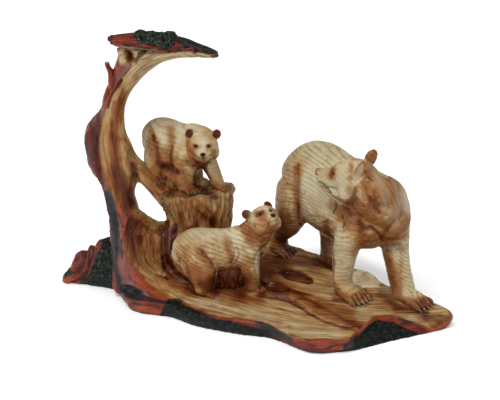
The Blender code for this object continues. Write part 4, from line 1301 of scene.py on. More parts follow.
class Bear:
    """One bear's frames and shells. Each leg is (paw x, paw y, paw turn, paw size, rows); its rows run from
    the hip or shoulder down, and the lower they are the more they follow the ground under their own paw. The
    head is (place, turn, pitch and roll in degrees, size, breadth)."""

    def __init__(self, name, place, turn, level, body, neck, legs, head, look, more=()):
        self.name = name
        self.look = look
        self.frame = framing((*place, level(*place)), turn)
        self.shells = [moved(tube(body, around=48, cap=0.7), self.frame),
                       moved(tube(neck, around=40, cap=0.5), self.frame)]
        self.shells += [moved(ball(*row), self.frame) for row in more]
        self.paws = []
        for paw_x, paw_y, paw_turn, size, rows in legs:
            spot = self.frame @ Vector((paw_x, paw_y, 0))
            spot.z = level(spot.x, spot.y) - PAW_SINK
            drop = (self.frame.inverted() @ spot).z
            rows = np.array(rows, float)
            rows[:, 2] += drop * (rows[0, 2] - rows[:, 2]) / (rows[0, 2] - rows[-1, 2])
            self.shells.append(moved(tube(rows, cap=0.6), self.frame))
            paw = self.frame @ framing((paw_x, paw_y, drop), paw_turn)
            self.paws.append((paw, size))
            self.shells += paw_shells(paw, size)
        at, yaw, pitch, roll, size, broad = head
        pose = self.frame @ framing(at, yaw, size, pitch, roll)
        self.head = pose @ Matrix.Diagonal((1, broad, 1, 1))
        self.shells += head_shells(self.head, look)
        self.fur = size / FUR_HEAD

    def local(self, skin, frame):
        """The skin's points and normals in a frame."""
        at = seen_from(skin.points, frame)
        return at, normed(through(skin.normals, frame.to_3x3().inverted().to_4x4()))

    def from_skull(self, skin):
        """How far each point lies from the middle of the skull, in the head's units."""
        return lengths(seen_from(skin.points, self.head) - SKULL)

    def shown(self, skin, pixel):
        """The place in the head's frame that the viewpoint sees at a pixel."""
        return seen_from(skin.spot(pixel)[None], self.head)[0]

    def find_eyes(self, skin):
        """Where the eyes lie, from the pixels that show them: an eye that the photograph hides mirrors the
        other one across the head."""
        found = [self.shown(skin, pixel) for pixel in self.look["eyes"]]
        if len(found) == 1:
            guess = found[0] * (1, -1, 1)
            face = seen_from(skin.points, self.head)
            found.append(face[lengths(face - guess).argmin()])
        self.eye_places = found

    def carve_face(self, skin):
        """Cuts the eye sockets, nose and mouth, and stains them."""
        face, outward = self.local(skin, self.head)
        near = ramp(lengths(face - MUZZLE), 24, 20)
        self.find_eyes(skin)
        cut = np.zeros(len(face))
        for eye in self.eye_places:
            cut += self.look["socket"] * within(face, eye, (2.3, 2.1, 1.7))
            cut -= 0.5 * within(face, eye + (0, 0, 2.4), (2.6, 3.0, 1.3))
            skin.paint("stain_and_shade", within(face, eye, (2.0, 2.0, 1.35)) * self.look["eye_dark"])
            skin.paint("warm", within(face, eye + (0, 0, -0.8), (3.2, 3.2, 2.6)) * 0.6)
        nose = self.shown(skin, self.look["nose"])
        pad = within(face, nose + (0, 0, 0.3), self.look["pad"])
        skin.paint("black", ramp(pad, 0.35, 0.5) * self.look["nose_black"])
        cut -= pad * 0.35
        for side in (-1, 1):
            nostril = within(face, nose + (0.3, side * 1.2, -0.2), (1.2, 0.6, 0.55))
            cut += nostril * 0.8
            skin.paint("stain_and_shade", ramp(nostril, 0.3, 0.7))
            mouth = along(face[:, [0, 2]], self.look["mouth"], 0.6) * near
            mouth *= ramp(side * face[:, 1], -0.5, 0.8) * ramp(side * outward[:, 1], 0.0, 0.3)
            mouth *= self.look["mouth_depth"]
            cut += mouth
            skin.paint("stain_and_shade", mouth * 1.4)
        lip = bell(face[:, 1], nose[1], 0.45) * ramp(outward[:, 0], 0.2, 0.5) * near
        lip *= ramp(nose[2] - face[:, 2], 1.4, 2.2) * ramp(face[:, 2] - nose[2], -5.2, -4.4)
        cut += lip * 0.5
        skin.paint("stain_and_shade", lip * 0.5)
        skin.push(-cut * self.head.to_scale().x)

    def carve_ears(self, skin):
        """Cups the ears and stains them."""
        for ear in self.look["ears"]:
            frame = self.head @ ear_frame(ear)
            at, out = self.local(skin, frame)
            thick, wide, tall = ear[5:]
            cup = np.clip(1 - (at[:, 1] / wide / 0.8) ** 2 - (at[:, 2] / tall / 0.86) ** 2, 0, 1)
            cup *= ramp(at[:, 0], -0.2, 0.6) * ramp(at[:, 0], thick * 1.8, thick * 1.4) * (out[:, 0] > 0)
            direction = np.array(frame.to_3x3() @ Vector((-1, 0, 0)))
            skin.shift(cup**0.6 * thick * 0.85, direction)
            rim = within(at, (0, 0, 0), (thick * 1.6, wide * 0.95, tall * 0.95))
            dark = np.maximum(ramp(cup, 0.02, 0.5), ramp(rim, 0.25, 0.6) * 0.85)
            skin.paint("stain_and_shade", dark * self.look["ear_dark"])
            skin.paint("warm", ramp(rim, 0.2, 0.6))
            skin.paint("pale", ramp(cup, 0.15, 0.6) * self.look["ear_pale"])

    def carve_paws(self, skin):
        """Cuts the gaps between the toes and stains the paws."""
        for paw, size in self.paws:
            x, y, z = (seen_from(skin.points, paw) / size).T
            close = ramp(z, 9, 6) * ramp(x, -12, -8) * ramp(x, 14, 13) * (abs(y) < 11)
            toes = close * ramp(x, 3, 6)
            gaps = sum(bell(y, gap * 1.07, 0.55) for gap in TOE_GAPS)
            skin.push(-toes * gaps * 0.45 * size)
            skin.paint("stain_and_shade", toes * gaps * 0.9)
            skin.paint("warm", close * 0.7)
            skin.paint("stain_and_shade", close * ramp(x, -4, 6) * 0.3)

    def claws(self):
        """The claws of all its paws."""
        return [shell for paw, size in self.paws for shell in claw_shells(paw, size)]

    def eyes(self):
        """Two small round eyes, sunk in their sockets."""
        r = self.look["eye_size"]
        sunk = self.look["socket"] * 0.9 + r * 0.35
        narrow = 1 - 0.04 * sunk
        return [moved(ball(x - sunk * 0.85, y * narrow, z, r, r, r * 0.85, around=16), self.head)
                for x, y, z in self.eye_places]


MOTHER_BODY = [(-56, 1, 58, 10, 13), (-50, 1, 65, 18, 22), (-36, 1, 68, 24, 31), (-18, 0, 64, 25, 33),
               (0, 0, 60, 25, 31), (18, 0, 60, 25, 30), (32, 1, 60, 23, 27), (42, 2, 58, 17, 21),
               (48, 2, 56, 10, 13)]
MOTHER_NECK = [(22, 0, 66, 21, 21), (34, -2, 70, 19.5, 20), (39, -10, 75, 17, 18), (37, -18, 81, 15, 17),
               (30, -21, 86, 13.5, 15)]
MOTHER_LEGS = [
    (25, -19, -4, 1.15, [(22, -13, 60, 12, 15), (19, -17, 46, 10.5, 11.5), (16, -19, 30, 8.8, 9),
                         (15, -19.5, 14, 7.2, 7.4), (17, -19, 6, 7.5, 8)]),
    (57.5, 12.3, 4, 1.15, [(34, 11, 58, 13, 14), (36.5, 10.5, 45, 11, 12), (41, 9.8, 29, 9.3, 9.6),
                           (45.3, 11.5, 13, 8.8, 8.8), (47.8, 12, 6, 8.5, 9)]),
    (-61, -9.5, 0, 1.0, [(-42, -12, 60, 14, 19), (-45, -14, 46, 12.5, 16), (-52, -13, 30, 9.5, 11),
                         (-62.7, -11, 17, 7.3, 7.5), (-64.2, -10.5, 7, 7.2, 7.8)]),
    (-22, 7, 0, 1.0, [(-34, 11, 60, 14, 18), (-31, 10, 44, 11, 14), (-29, 9.5, 28, 7.5, 9),
                      (-28.5, 9, 14, 6, 7), (-27.5, 8, 6, 6.2, 7)]),
]
# Looks: the tubes of the skull and jaw, the balls of the cheeks, brows and nose, the ears, and then
# eyes, nose: the pixels that show them
# eye_size, socket: the eye's radius and how deep its socket is
# pad, nose_black: the reach of the nose's pad and how black it is
# mouth, mouth_depth: its line on the side of the face, x and z, and how deep it is cut
# eye_dark, ear_dark, ear_pale: how strong the stain and the pale touches are
# plain, dim: strokes that take the rings away, and that dim the wood
# shade: painted shade between the limbs and under the belly, in warm and dark glaze, with its middle and
# reach in the bear's frame and its strength
MOTHER_LOOK = {
    "skull": [(-10, 0, 0, 7, 7.5), (-5, 0, 0.5, 11, 10.5), (1, 0, 0.3, 12, 11.3), (6, 0, -1.2, 10, 9.6),
              (10.5, 0, -3, 7, 7.2), (14.5, 0, -4.2, 5.2, 5.3), (18, 0, -4.4, 4.5, 4.3)],
    "jaw": [(-2, 0, -7.0, 8.5, 7.4), (5, 0, -8.0, 6.8, 5.2), (12.2, 0, -8.2, 4.2, 3.0),
            (16, 0, -8.0, 3.0, 2.0)],
    "lobes": [(-1, 7, -5, 7, 5.5, 6.5), (-1, -7, -5, 7, 5.5, 6.5), (20.6, 0, -3.2, 1.4, 2.9, 2.2),
              (9.6, 4.4, 4.6, 3.4, 2.4, 1.7), (9.6, -4.4, 4.6, 3.4, 2.4, 1.7)],
    "ears": [(-1.6, 9.2, 7.4, 76, -4, 1.8, 2.6, 6.8), (-2.4, -7.2, 13.3, -50, 4, 2.3, 3.7, 5.2)],
    "eyes": [(331.4, 173.6)], "eye_size": 0.45, "eye_dark": 0.35, "socket": 1.0, "nose": (316.0, 172.3),
    "nose_black": 0.0, "pad": (2.0, 2.4, 1.6), "mouth": [(16, -7.6), (14, -8.1), (11.5, -8.6)],
    "mouth_depth": 0.6, "ear_dark": 0.2, "ear_pale": 0.5, "plain": [([(364, 190), (374, 214)], 17, 0.75)],
    "shade": [], "dim": [([(322, 177), (350, 188)], 12, 0.28), ([(292, 150), (330, 152)], 13, 0.2)],
}

STUMP_CUB_BODY = [(-40, 0, 26, 7, 9), (-35, 0, 29, 12.5, 16), (-27, 0, 30.5, 15, 19),
                  (-15, 0, 29, 14.5, 19), (-4, 0, 30, 14, 18.3), (4, 0, 33, 13, 16.8),
                  (11, 0, 33, 10, 12.5), (15, 0, 32, 6, 8)]
STUMP_CUB_NECK = [(4, 0, 36, 12, 13), (10, -2, 37.5, 11.5, 12), (13, -4, 37.5, 10.5, 11)]
STUMP_CUB_LEGS = [
    (3, -8, -20, 0.62, [(5, -7.5, 32, 8.5, 9.5), (2, -10.3, 21, 7.6, 8.2), (-0.2, -10.4, 12, 6.7, 7),
                        (-0.8, -8.8, 4, 5.4, 5.8)]),
    (19.6, 9.8, 0, 0.62, [(6, 5, 33, 8, 9), (9.5, 6.2, 22, 6.6, 7), (14, 8, 12, 5.3, 5.6),
                          (16.6, 9.4, 4, 4.8, 5.1)]),
    (-22, -17, -30, 0.66, [(-24, -7, 27, 9, 14), (-25, -12, 18, 8, 11), (-25, -15.5, 10, 6.2, 7),
                           (-25, -17, 4, 5, 5.4)]),
    (-3, 12, 0, 0.62, [(-16, 8, 30, 8, 12), (-12, 10, 20, 7, 9), (-7, 12, 11, 5.5, 6), (-5, 12, 4, 4.6, 5)]),
]
CUB_LOOK = {
    "skull": [(-10, 0, 0, 7, 7.5), (-5, 0, 0.5, 11, 10.5), (1, 0, 0.5, 12.2, 11.3), (5.5, 0, -0.6, 10.8, 9.8),
              (9, 0, -2.6, 8.0, 7.4), (12, 0, -3.8, 5.0, 4.8), (14.6, 0, -4.1, 3.7, 3.8)],
    "jaw": [(-2, 0, -5.5, 9.5, 7.0), (4, 0, -6.8, 8.2, 5.4), (9.5, 0, -7.6, 5.0, 3.4),
            (13, 0, -7.6, 3.2, 2.2)],
    "lobes": [(-1, 7.2, -4.5, 7, 5.8, 6.5), (-1, -7.2, -4.5, 7, 5.8, 6.5), (16.6, 0, -3.2, 1.3, 2.4, 1.6),
              (8.4, 4.6, 4.8, 2.6, 2.2, 1.2), (8.4, -4.6, 4.8, 2.6, 2.2, 1.2)],
    "ears": [(-2, 10.3, 10.6, 14, -18, 2.3, 4.2, 4.7), (-2, -10.3, 10.6, -14, 18, 2.3, 4.2, 4.7)],
    "eye_size": 1.15, "eye_dark": 1.0, "socket": 0.8, "nose_black": 1.0, "pad": (2.4, 2.5, 2.1),
    "mouth": [(15.5, -6.6), (13.5, -7.6), (10, -8.2), (7.5, -9.0)], "mouth_depth": 0.25, "ear_dark": 0.8,
    "ear_pale": 0.0, "plain": [],
}

GROUND_CUB_BODY = [(-37, 1, 20, 7, 10), (-32, 1, 23.5, 13, 16), (-24, 0, 26, 15, 19),
                   (-12, 0, 27.5, 14, 17.5), (0, 0, 29, 13.5, 16), (9, 0, 31.5, 13, 16.5),
                   (17, 0, 33, 11.5, 14), (22, 0, 33, 7, 9)]
GROUND_CUB_NECK = [(13, 0, 36, 12, 13), (20, -1, 44, 11, 12), (23, -2, 50, 10.5, 11)]
GROUND_CUB_LEGS = [
    (20, -9, 0, 0.6, [(14, -8, 31, 7.5, 9), (15, -9, 21, 6.5, 7.3), (16.5, -9.5, 12, 5.4, 5.9),
                      (17.5, -9.5, 4, 4.7, 5)]),
    (22, 7, 0, 0.6, [(15, 8, 31, 7, 8), (17, 8, 20, 5.6, 6), (19, 7, 11, 4.6, 5), (20, 7, 4, 4.4, 4.6)]),
    (-14, -13.5, -30, 0.68, [(-22, -10, 24, 9, 15), (-20, -12.5, 17, 8.5, 12.5), (-18.5, -13, 10, 7, 8.5),
                             (-18.5, -13, 4, 5.6, 6.5)]),
    (-14, 12, 20, 0.66, [(-22, 9, 24, 9, 15), (-20, 11, 17, 8.5, 12.5), (-18, 12, 10, 7, 8.5),
                         (-18, 12, 4, 5.5, 6.5)]),
]


# Where the stump's top starts to rise to the left, over how long a way, and by what share
STUMP_RISE = (-56, 14, 0.07)


def stump_top(x, y):
    """The level that the upper cub stands on: the flat of the stump, rising to the left along the bridge."""
    across = x * math.cos(AZIMUTH) + y * math.sin(AZIMUTH)
    start, way, share = STUMP_RISE
    return STUMP_HEIGHT * (1 + share * min(max((start - across) / way, 0), 1))


# Creases in the bears' sides, in the photograph's pixels: a path, its width, its depth in units, its
# darkness, partly stain and partly painted shade in the crease
MOTHER_CREASES = [
    ([(297, 162), (298.5, 181), (297.5, 200), (299, 218)], 1.9, 0.5, 0.4),
    ([(292, 172), (292.5, 185), (291, 203)], 1.6, 0.2, 0.2),
    ([(335.6, 200), (336.2, 206), (333, 213)], 1.2, 0.9, 0.8), ([(331, 199), (329.5, 211)], 1.2, 0.4, 0.3),
    ([(370, 228), (378, 234), (383, 242)], 1.9, 1.2, 0.5),
    ([(300, 224), (309, 231), (319, 238)], 1.6, 0.3, 0.7),
    ([(394, 222), (386, 232), (382, 240)], 2.2, 0.9, 0.35),
    ([(346, 205.5), (352, 198), (355, 188)], 1.4, 0.5, 0.6),
    ([(351.8, 164), (350.8, 172), (351.5, 182)], 2.0, 0.5, 0.1),
    ([(365.5, 164), (366, 174), (362, 182)], 1.6, 0.3, 0.3),
    ([(335.5, 165), (331.2, 170), (330.6, 179)], 1.2, 0.5, 0.4),
    ([(316.8, 169.8), (315.4, 172), (317, 174.6)], 0.8, 0.4, 1.0),
    ([(320.2, 186.5), (325, 188), (331, 193)], 0.8, 0.6, 0.9),
    ([(405, 240), (398, 250), (391, 262)], 2.2, 0.3, 0.2),
    ([(369, 199), (377, 204), (386, 206)], 2.4, 1.1, 0.4), ([(368.5, 177), (374, 181)], 1.0, 0.5, 0.6),
    ([(366, 188), (370, 202), (379, 214)], 2.4, 1.2, 0.35),
    ([(384, 190), (390, 204), (386, 216)], 2.4, 1.2, 0.35),
    ([(358, 222), (364, 228), (372, 230)], 2.4, 1.0, 0.4),
    ([(398, 190), (402, 206), (400, 222)], 2.2, 1.0, 0.3), ([(342.4, 215), (342.6, 218)], 0.8, 0.6, 1.0),
    ([(344.4, 223), (343, 227)], 0.7, 0.5, 0.9),
]
# Some of these strokes are painted shade, such as the brown on the neck behind the jaw's edge and beside the
# ear
MOTHER_STROKES = {"stain_and_shade": [
    ([(328, 180), (348, 192)], 9, 0.13), ([(282, 212), (286, 240)], 6, 0.25),
    ([(352, 202), (366, 205), (376, 208)], 4, 0.4), ([(374, 192), (376, 206)], 3.5, 0.45),
    ([(356, 186), (355, 197)], 2.5, 0.4), ([(322, 240), (328, 266)], 7, 0.75),
    ([(285, 245), (294, 255)], 5, 0.7), ([(326, 222), (328, 238)], 4, 0.8),
    ([(360, 216), (361, 230)], 3.5, 0.5), ([(387, 246), (399, 243)], 3, 0.6),
    ([(353, 160), (351, 172)], 2, 0.15), ([(279, 222), (281, 240)], 8, 0.6),
    ([(288, 210), (290, 222)], 4, 0.35), ([(298, 204), (299, 220)], 2, 0.5),
    ([(375, 236), (392, 240)], 3, 0.2), ([(333, 250), (333, 285)], 1.6, 0.6),
    ([(348, 202), (356, 199)], 3, 0.7), ([(398, 302), (428, 308)], 6, 0.4),
    ([(386, 252), (394, 288)], 4, 0.4), ([(346, 207), (352, 214)], 4, 0.5),
], "warm": [
    ([(386, 176), (400, 206)], 10, 0.5), ([(382, 170), (392, 190), (396, 210)], 9, 0.8),
    ([(380, 240), (400, 232), (410, 222)], 9, 0.95), ([(334, 286), (339, 302)], 5, 0.7),
    ([(402, 250), (400, 292)], 3, 0.4), ([(330, 205), (345, 210)], 5, 0.8),
    ([(368, 160), (370, 175), (366, 184)], 4, 0.9), ([(306, 226), (318, 234)], 4, 0.7),
    ([(284, 172), (281, 205)], 8, 0.5), ([(281, 214), (280, 242)], 9, 0.8),
    ([(352, 212), (372, 208)], 10, 0.9), ([(366, 186), (380, 202)], 9, 0.9),
    ([(338, 212), (346, 224)], 6, 0.8), ([(351, 165), (350, 178)], 3.2, 0.65),
    ([(333, 169), (332, 177)], 3, 0.9), ([(371, 150), (371, 160)], 6, 0.9),
    ([(362, 222), (360, 245)], 6, 0.6), ([(388, 256), (396, 292)], 6, 0.9),
    ([(312, 216), (328, 220)], 4, 0.4), ([(297, 168), (297, 216)], 4.5, 0.95),
    ([(294, 148), (284, 165)], 5, 0.4), ([(352, 228), (372, 240)], 6, 0.5),
    ([(352, 158), (362, 158)], 3, 0.6), ([(349, 190), (356, 204)], 5, 0.8),
], "pale": [
    ([(340, 182), (345, 195)], 6, 0.3), ([(318, 178), (330, 184)], 4, 0.2),
    ([(308, 185), (322, 206)], 10, 0.45), ([(282, 170), (281, 200)], 6, 0.2),
    ([(304, 214), (318, 220)], 4, 0.3), ([(355, 185), (360, 178)], 1.6, 0.5),
    ([(370, 166), (384, 186), (386, 212)], 4.5, 0.25), ([(404, 192), (408, 210)], 4.5, 0.5),
    ([(394, 182), (399, 200), (394, 224)], 4, 0.22), ([(345, 262), (350, 285)], 4, 0.3),
]}


def mother_sheets(points):
    """The growth rings of the mother's wood: arcs round a point low in her flank, level sheets under it, caps
    down her right front leg and slanting sheets down the left one."""
    x, y, z = points.T
    right = 0.656 * x + 0.755 * y + 34
    sheet = np.hypot(right * (0.25 + 0.75 * ramp(z, 55, 75)), z - 52) * np.sign(z - 52) + 20
    right_leg = z + 0.22 * ((x - 16) ** 2 + (y + 19) ** 2) ** 0.75
    left_leg = z * 1.1 + 0.75 * x + 0.6 * y
    low = ramp(z, 40, 33)
    front = ramp(x, 4, 8) * low
    far = ramp(y, -4, 2)
    return sheet * (1 - front) + front * (right_leg * (1 - far) + left_leg * far)


def stump_cub_sheets(points):
    """The upper cub's rings: nearly level sheets."""
    return points @ (0.10, -0.16, 0.98)


def ground_cub_sheets(points):
    """The lower cub's rings: sheets that fall to its front."""
    return points @ (0.34, 0.0, 0.94)


def mother():
    """The mother walks to the right and looks back over her right shoulder."""
    return Bear("mother_bear", (61, 40), -19, ground, MOTHER_BODY, MOTHER_NECK, MOTHER_LEGS,
                ((25.5, -20, 88), -151, 17, 9, 1.35, 1.0), MOTHER_LOOK)


def stump_cub():
    """The cub on the stump leans forward on its front paws and looks at the viewer."""
    look = {**CUB_LOOK, "eyes": [(195.5, 146.6), (208.8, 146.6)], "nose": (203.2, 155.2),
            # Painted shade under the belly
            "shade": [((-9, -3, 13), (16, 8.5, 8), 0.85)], "dim": []}
    return Bear("stump_cub", (-47.7, -3.3), -5, stump_top, STUMP_CUB_BODY, STUMP_CUB_NECK, STUMP_CUB_LEGS,
                ((14.7, -5.9, 35.5), -54.2, 5.8, -0.8, 0.87, 1.08), look,
                [(9, 0, 24.5, 7, 7, 6.5), (-13.5, -5.5, 9, 17.5, 8, 9.5)])


def ground_cub():
    """The cub below crouches on its haunches and lifts its head."""
    look = {**CUB_LOOK, "eyes": [(260, 214.4), (270.8, 210.2)], "nose": (273.8, 214.6),
            "pad": (2.8, 2.9, 2.5),
            # Painted shade under the belly and down the far front leg
            "shade": [((-3, -3, 8), (15, 7, 9), 1.0), ((20, 7, 10), (7, 5, 16), 0.8)],
            "dim": [([(185, 238), (222, 240)], 9, 0.2)]}
    return Bear("ground_cub", (-11.5, -10), 27, ground, GROUND_CUB_BODY, GROUND_CUB_NECK, GROUND_CUB_LEGS,
                ((25.5, -3.2, 53.7), -62.4, 42, 12.3, 0.91, 1.02), look, [(-3, -2.5, 7, 15.5, 6.5, 10.5)])


STUMP_CUB_CREASES = [
    ([(217.4, 142), (218, 150), (214.5, 157.5), (207.5, 162.2)], 1.3, 0.3, 0.35),
    ([(203, 157.5), (203, 160)], 0.8, 0.3, 0.6),
    ([(192.5, 145), (195, 144.4), (197.5, 145.6)], 0.9, 0.2, 0.5),
    ([(207, 145.6), (209.5, 144.4), (211.5, 145)], 0.9, 0.2, 0.5),
    ([(151, 130), (153.5, 138), (156, 148), (158, 158)], 2.4, 0.5, 0.4),
    ([(187, 139), (186.5, 150), (190, 158), (197, 162)], 1.5, 0.6, 0.35),
    ([(158, 163), (168, 168), (177, 172)], 2.2, 0.5, 0.8),
    ([(172, 145), (171, 158), (172, 166)], 1.5, 0.5, 0.6), ([(163, 133), (165, 146)], 1.6, 0.2, 0.25),
    ([(197, 162.5), (204, 164), (211, 162)], 1.2, 0.4, 0.8), ([(183, 172), (186, 180)], 1.2, 0.2, 0.3),
]
# Some of these strokes are painted shade, such as the dark brown under the belly between the legs
STUMP_CUB_STROKES = {"stain_and_shade": [
    ([(160, 165), (178, 172)], 3.5, 0.7), ([(166, 181), (178, 186)], 4, 0.4),
    ([(154, 128), (153, 140)], 2, 0.35), ([(190, 175), (200, 180)], 2, 0.4),
    ([(153.4, 136.5), (153.8, 139.5)], 1.3, 1.0), ([(156, 150), (158, 160)], 3.5, 0.45),
    ([(203, 165), (208, 180)], 2.8, 0.9), ([(196, 166), (188, 163)], 4, 0.6),
    ([(153, 178), (161, 181)], 3, 0.6), ([(188, 136), (190, 130)], 2, 0.5),
    ([(171, 150), (170.5, 160)], 1.5, 0.5), ([(160, 161), (175, 168)], 3, 0.3),
], "warm": [
    ([(170.6, 128), (171.5, 140), (169.8, 158)], 5, 0.8), ([(160, 160), (178, 174)], 7, 1.0),
    ([(164, 176), (178, 186)], 7, 0.85), ([(152, 142), (155, 166)], 6, 0.85),
    ([(181, 164), (184, 184)], 5, 0.7), ([(200, 164), (206, 178)], 4, 0.8),
    ([(190, 152), (188, 141)], 3, 0.6), ([(192, 151), (199, 159), (206, 160)], 3, 0.35),
    ([(164, 150), (170, 160)], 5, 0.6), ([(183, 190), (196, 190)], 5, 0.7),
    ([(150, 127), (152, 136)], 4, 0.4), ([(187, 160), (200, 166)], 5, 0.7),
    ([(217, 186), (233, 191)], 5, 0.8), ([(156, 142), (158, 158)], 3.5, 0.7),
    ([(205, 135), (212, 137)], 3, 0.5), ([(191, 151), (194, 156)], 3, 0.6),
    ([(213, 151), (215, 157)], 3, 0.6), ([(178, 158), (181, 168)], 3, 0.4),
    ([(184, 176), (190, 184)], 4, 0.4), ([(151, 172), (161, 178)], 5, 0.7),
], "pale": [
    ([(155, 123), (178, 125)], 5, 0.45), ([(203.6, 141), (203.8, 146), (203.4, 152)], 1.7, 0.8),
    ([(163, 134), (164, 142)], 3.5, 0.5), ([(179, 130), (181, 142)], 3.5, 0.5),
    ([(199, 134), (206, 137)], 4, 0.4),
]}
GROUND_CUB_CREASES = [
    ([(202, 250.7), (210, 259.6), (215.4, 270.4), (217, 279.3)], 1.7, 0.6, 0.5),
    ([(230.5, 241), (235, 252.5), (231, 262)], 1.8, 0.4, 0.4),
    ([(237, 247), (239, 254), (236, 262)], 1.3, 0.5, 0.4),
    ([(262.7, 247), (256.4, 254.3), (253.8, 264), (258, 279), (261, 292.7)], 1.6, 0.5, 0.35),
    ([(247, 222), (251, 235), (262, 243)], 1.6, 0.5, 0.35),
    ([(217, 274), (219, 282), (217.5, 292)], 1.2, 1.2, 0.7),
    ([(222, 279), (224.5, 286), (223, 293)], 1.0, 1.5, 0.7),
    ([(229, 273), (227.5, 281), (230, 290)], 1.4, 1.1, 0.6),
    ([(233, 279), (236, 285), (235, 291)], 0.9, 1.4, 0.7),
    ([(240, 275), (239, 283), (243, 290)], 1.2, 1.2, 0.6),
    ([(271, 218), (269, 222), (268, 226)], 0.8, 0.3, 0.5),
    ([(264, 240), (271, 236.5), (276, 231)], 1.2, 0.3, 0.4), ([(254, 221), (255, 229)], 1.0, 0.2, 0.35),
    ([(257, 217), (262, 221), (268, 219)], 1.6, 0.2, 0.35),
    ([(250, 228), (256, 236), (264, 238)], 1.6, 0.3, 0.3),
]
# Some of these strokes are painted shade: the dark brown and warm under the belly and down the far front leg
GROUND_CUB_STROKES = {"stain_and_shade": [
    ([(262, 252), (262, 284)], 3, 0.6), ([(198, 254), (207, 263)], 4, 0.25),
    ([(240, 226), (252, 242)], 3, 0.3), ([(200, 284), (212, 292)], 5, 0.6),
    ([(244, 240), (256, 250)], 2.5, 0.35), ([(213, 282), (245, 280)], 8, 0.85),
    ([(215, 291), (244, 289)], 4, 0.9), ([(218, 278), (226, 284)], 3.5, 0.8),
    ([(236, 277), (243, 286)], 3.5, 0.8), ([(257.5, 214.5), (262.5, 212)], 2.4, 0.8),
    ([(252, 224), (262, 231), (270, 226)], 3.5, 0.3), ([(186, 262), (190, 280)], 3, 0.5),
    ([(176, 253), (182, 262)], 3, 0.4),
], "warm": [
    ([(214, 278), (242, 280)], 8, 1.0), ([(180, 240), (222, 242)], 10, 0.2),
    ([(257, 214), (263, 214)], 4, 0.8), ([(252, 225), (268, 230)], 7, 0.5),
    ([(250, 232), (262, 240)], 5, 0.6), ([(270, 206), (276, 212)], 3, 0.6),
    ([(252, 206), (260, 202)], 4, 0.4), ([(272, 226), (278, 222)], 4, 0.5),
    ([(196, 272), (210, 288)], 9, 1.0), ([(243, 268), (255, 288)], 7, 1.0),
    ([(243, 225), (252, 240)], 6, 0.8), ([(200, 250), (212, 268)], 6, 0.8),
    ([(226, 240), (232, 262)], 4, 0.8), ([(185, 250), (190, 270)], 6, 0.5),
    ([(262, 218), (268, 224)], 4, 0.6), ([(244, 250), (250, 262)], 4, 0.6),
    ([(258, 236), (268, 240)], 4, 0.6),
], "pale": [
    ([(263.5, 207), (269.5, 211.5)], 1.6, 0.6), ([(251, 213), (253, 222)], 2.5, 0.5),
    ([(190, 232), (225, 232)], 6, 0.4), ([(233, 247), (237, 256)], 1.5, 0.4),
]}


# The growth rings of each bear: units from one to the next, their strength, the height of its knees, and how
# far the rings fade below them
MOTHER_RINGS = (3.1, 0.6, 30, 0.1)
STUMP_CUB_RINGS = (3.2, 0.5, 20, 0.8)
GROUND_CUB_RINGS = (2.9, 0.66, 24, 0.95)


def carve_bear(bear, step, sheets, rings, creases, strokes):
    """Fuses one bear, carves and stains it, and gives it its material and its claws and eyes."""
    spacing, strength, knee, fade = rings
    skin = Skin(bear.name, bear.shells, step)
    height = seen_from(skin.points, bear.frame)[:, 2]
    skin.ease(25, ramp(height, knee * 0.3, knee * 0.6) * ramp(bear.from_skull(skin), 16, 22))
    bear.carve_face(skin)
    bear.carve_ears(skin)
    bear.carve_paws(skin)
    fold = skin.creased(creases)
    skin.brush(strokes)
    at = seen_from(skin.points, bear.frame)
    # Painted shade between the limbs and under the belly
    for centre, reach, amount in bear.look["shade"]:
        under = within(at, centre, reach)
        skin.paint("warm", under * amount)
        skin.paint("stain_and_shade", under * amount * 0.8)
    sway = noise(at, 45, 31) * 0.9 + noise(at, 14, 32) * 0.28
    skin.layers["sheet"] = sheets(at) / spacing + sway + 50
    on_head = ramp(bear.from_skull(skin), 17, 12)
    on_legs = ramp(at[:, 2], knee, knee * 0.7)
    skin.layers["rings"] = (1 - on_head * 0.85) * (1 - on_legs * fade) * strength
    for path, width, amount in bear.look["plain"]:
        skin.layers["rings"] *= 1 - skin.stroke(path, width) * amount
    first = noise(at + noise(at, 9, 4)[:, None] * 2, np.array([4.2, 1.9, 1.9]) * bear.fur, 2)
    second = noise(at, np.array([2.2, 1.1, 1.1]) * bear.fur, 3)
    soft = 1 - 0.35 * on_head
    skin.push((np.abs(first) * 0.55 + np.abs(second) * 0.25 - 0.25) * bear.fur * 0.55 * soft - fold)
    # Darker glaze in the grooves of the fur, partly painted shade
    skin.paint("stain_and_shade", bell(first, 0, 0.07) * 0.4 * soft)
    skin.paint("warm", bell(second, 0, 0.12) * 0.3 * soft)
    # Painted shade in the hollows, fine and broad, together with the glaze that pools there
    skin.paint("stain_and_shade", skin.hollow(30, 3.2 * step) * 0.45)
    skin.paint("warm", skin.hollow(60, 4 * step) * 0.8)
    # Painted shade on the undersides: what faces down gets warm and dark glaze
    skin.paint("warm", ramp(-skin.normals[:, 2], 0.0, 0.8) * 0.9)
    skin.paint("stain_and_shade", ramp(-skin.normals[:, 2], 0.3, 0.95) * 0.4)
    skin.brush({"dim": bear.look["dim"]})
    skin.prime(("pale", "black", "dim"))
    skin.finish(bear_wood(bear.name + "_wood"))
    paint = paints()
    plain_piece(bear.name + "_claws", bear.claws(), one_paint(bear.name + "_horn", paint.horn, 0.3, 0.5))
    plain_piece(bear.name + "_eyes", bear.eyes(), one_paint(bear.name + "_jet", paint.jet, 0.12, 0.8))


# The layers that the driftwood's material reads
WOOD_LAYERS = ("bark", "moss", "tuft", "stain_and_shade", "warm", "pale", "char", "mauve_and_highlight", "rock")


def carve_wood(skin, carve, material):
    """Carves and paints one piece of driftwood."""
    carve(skin)
    skin.prime(WOOD_LAYERS)
    skin.finish(material)


# Operators


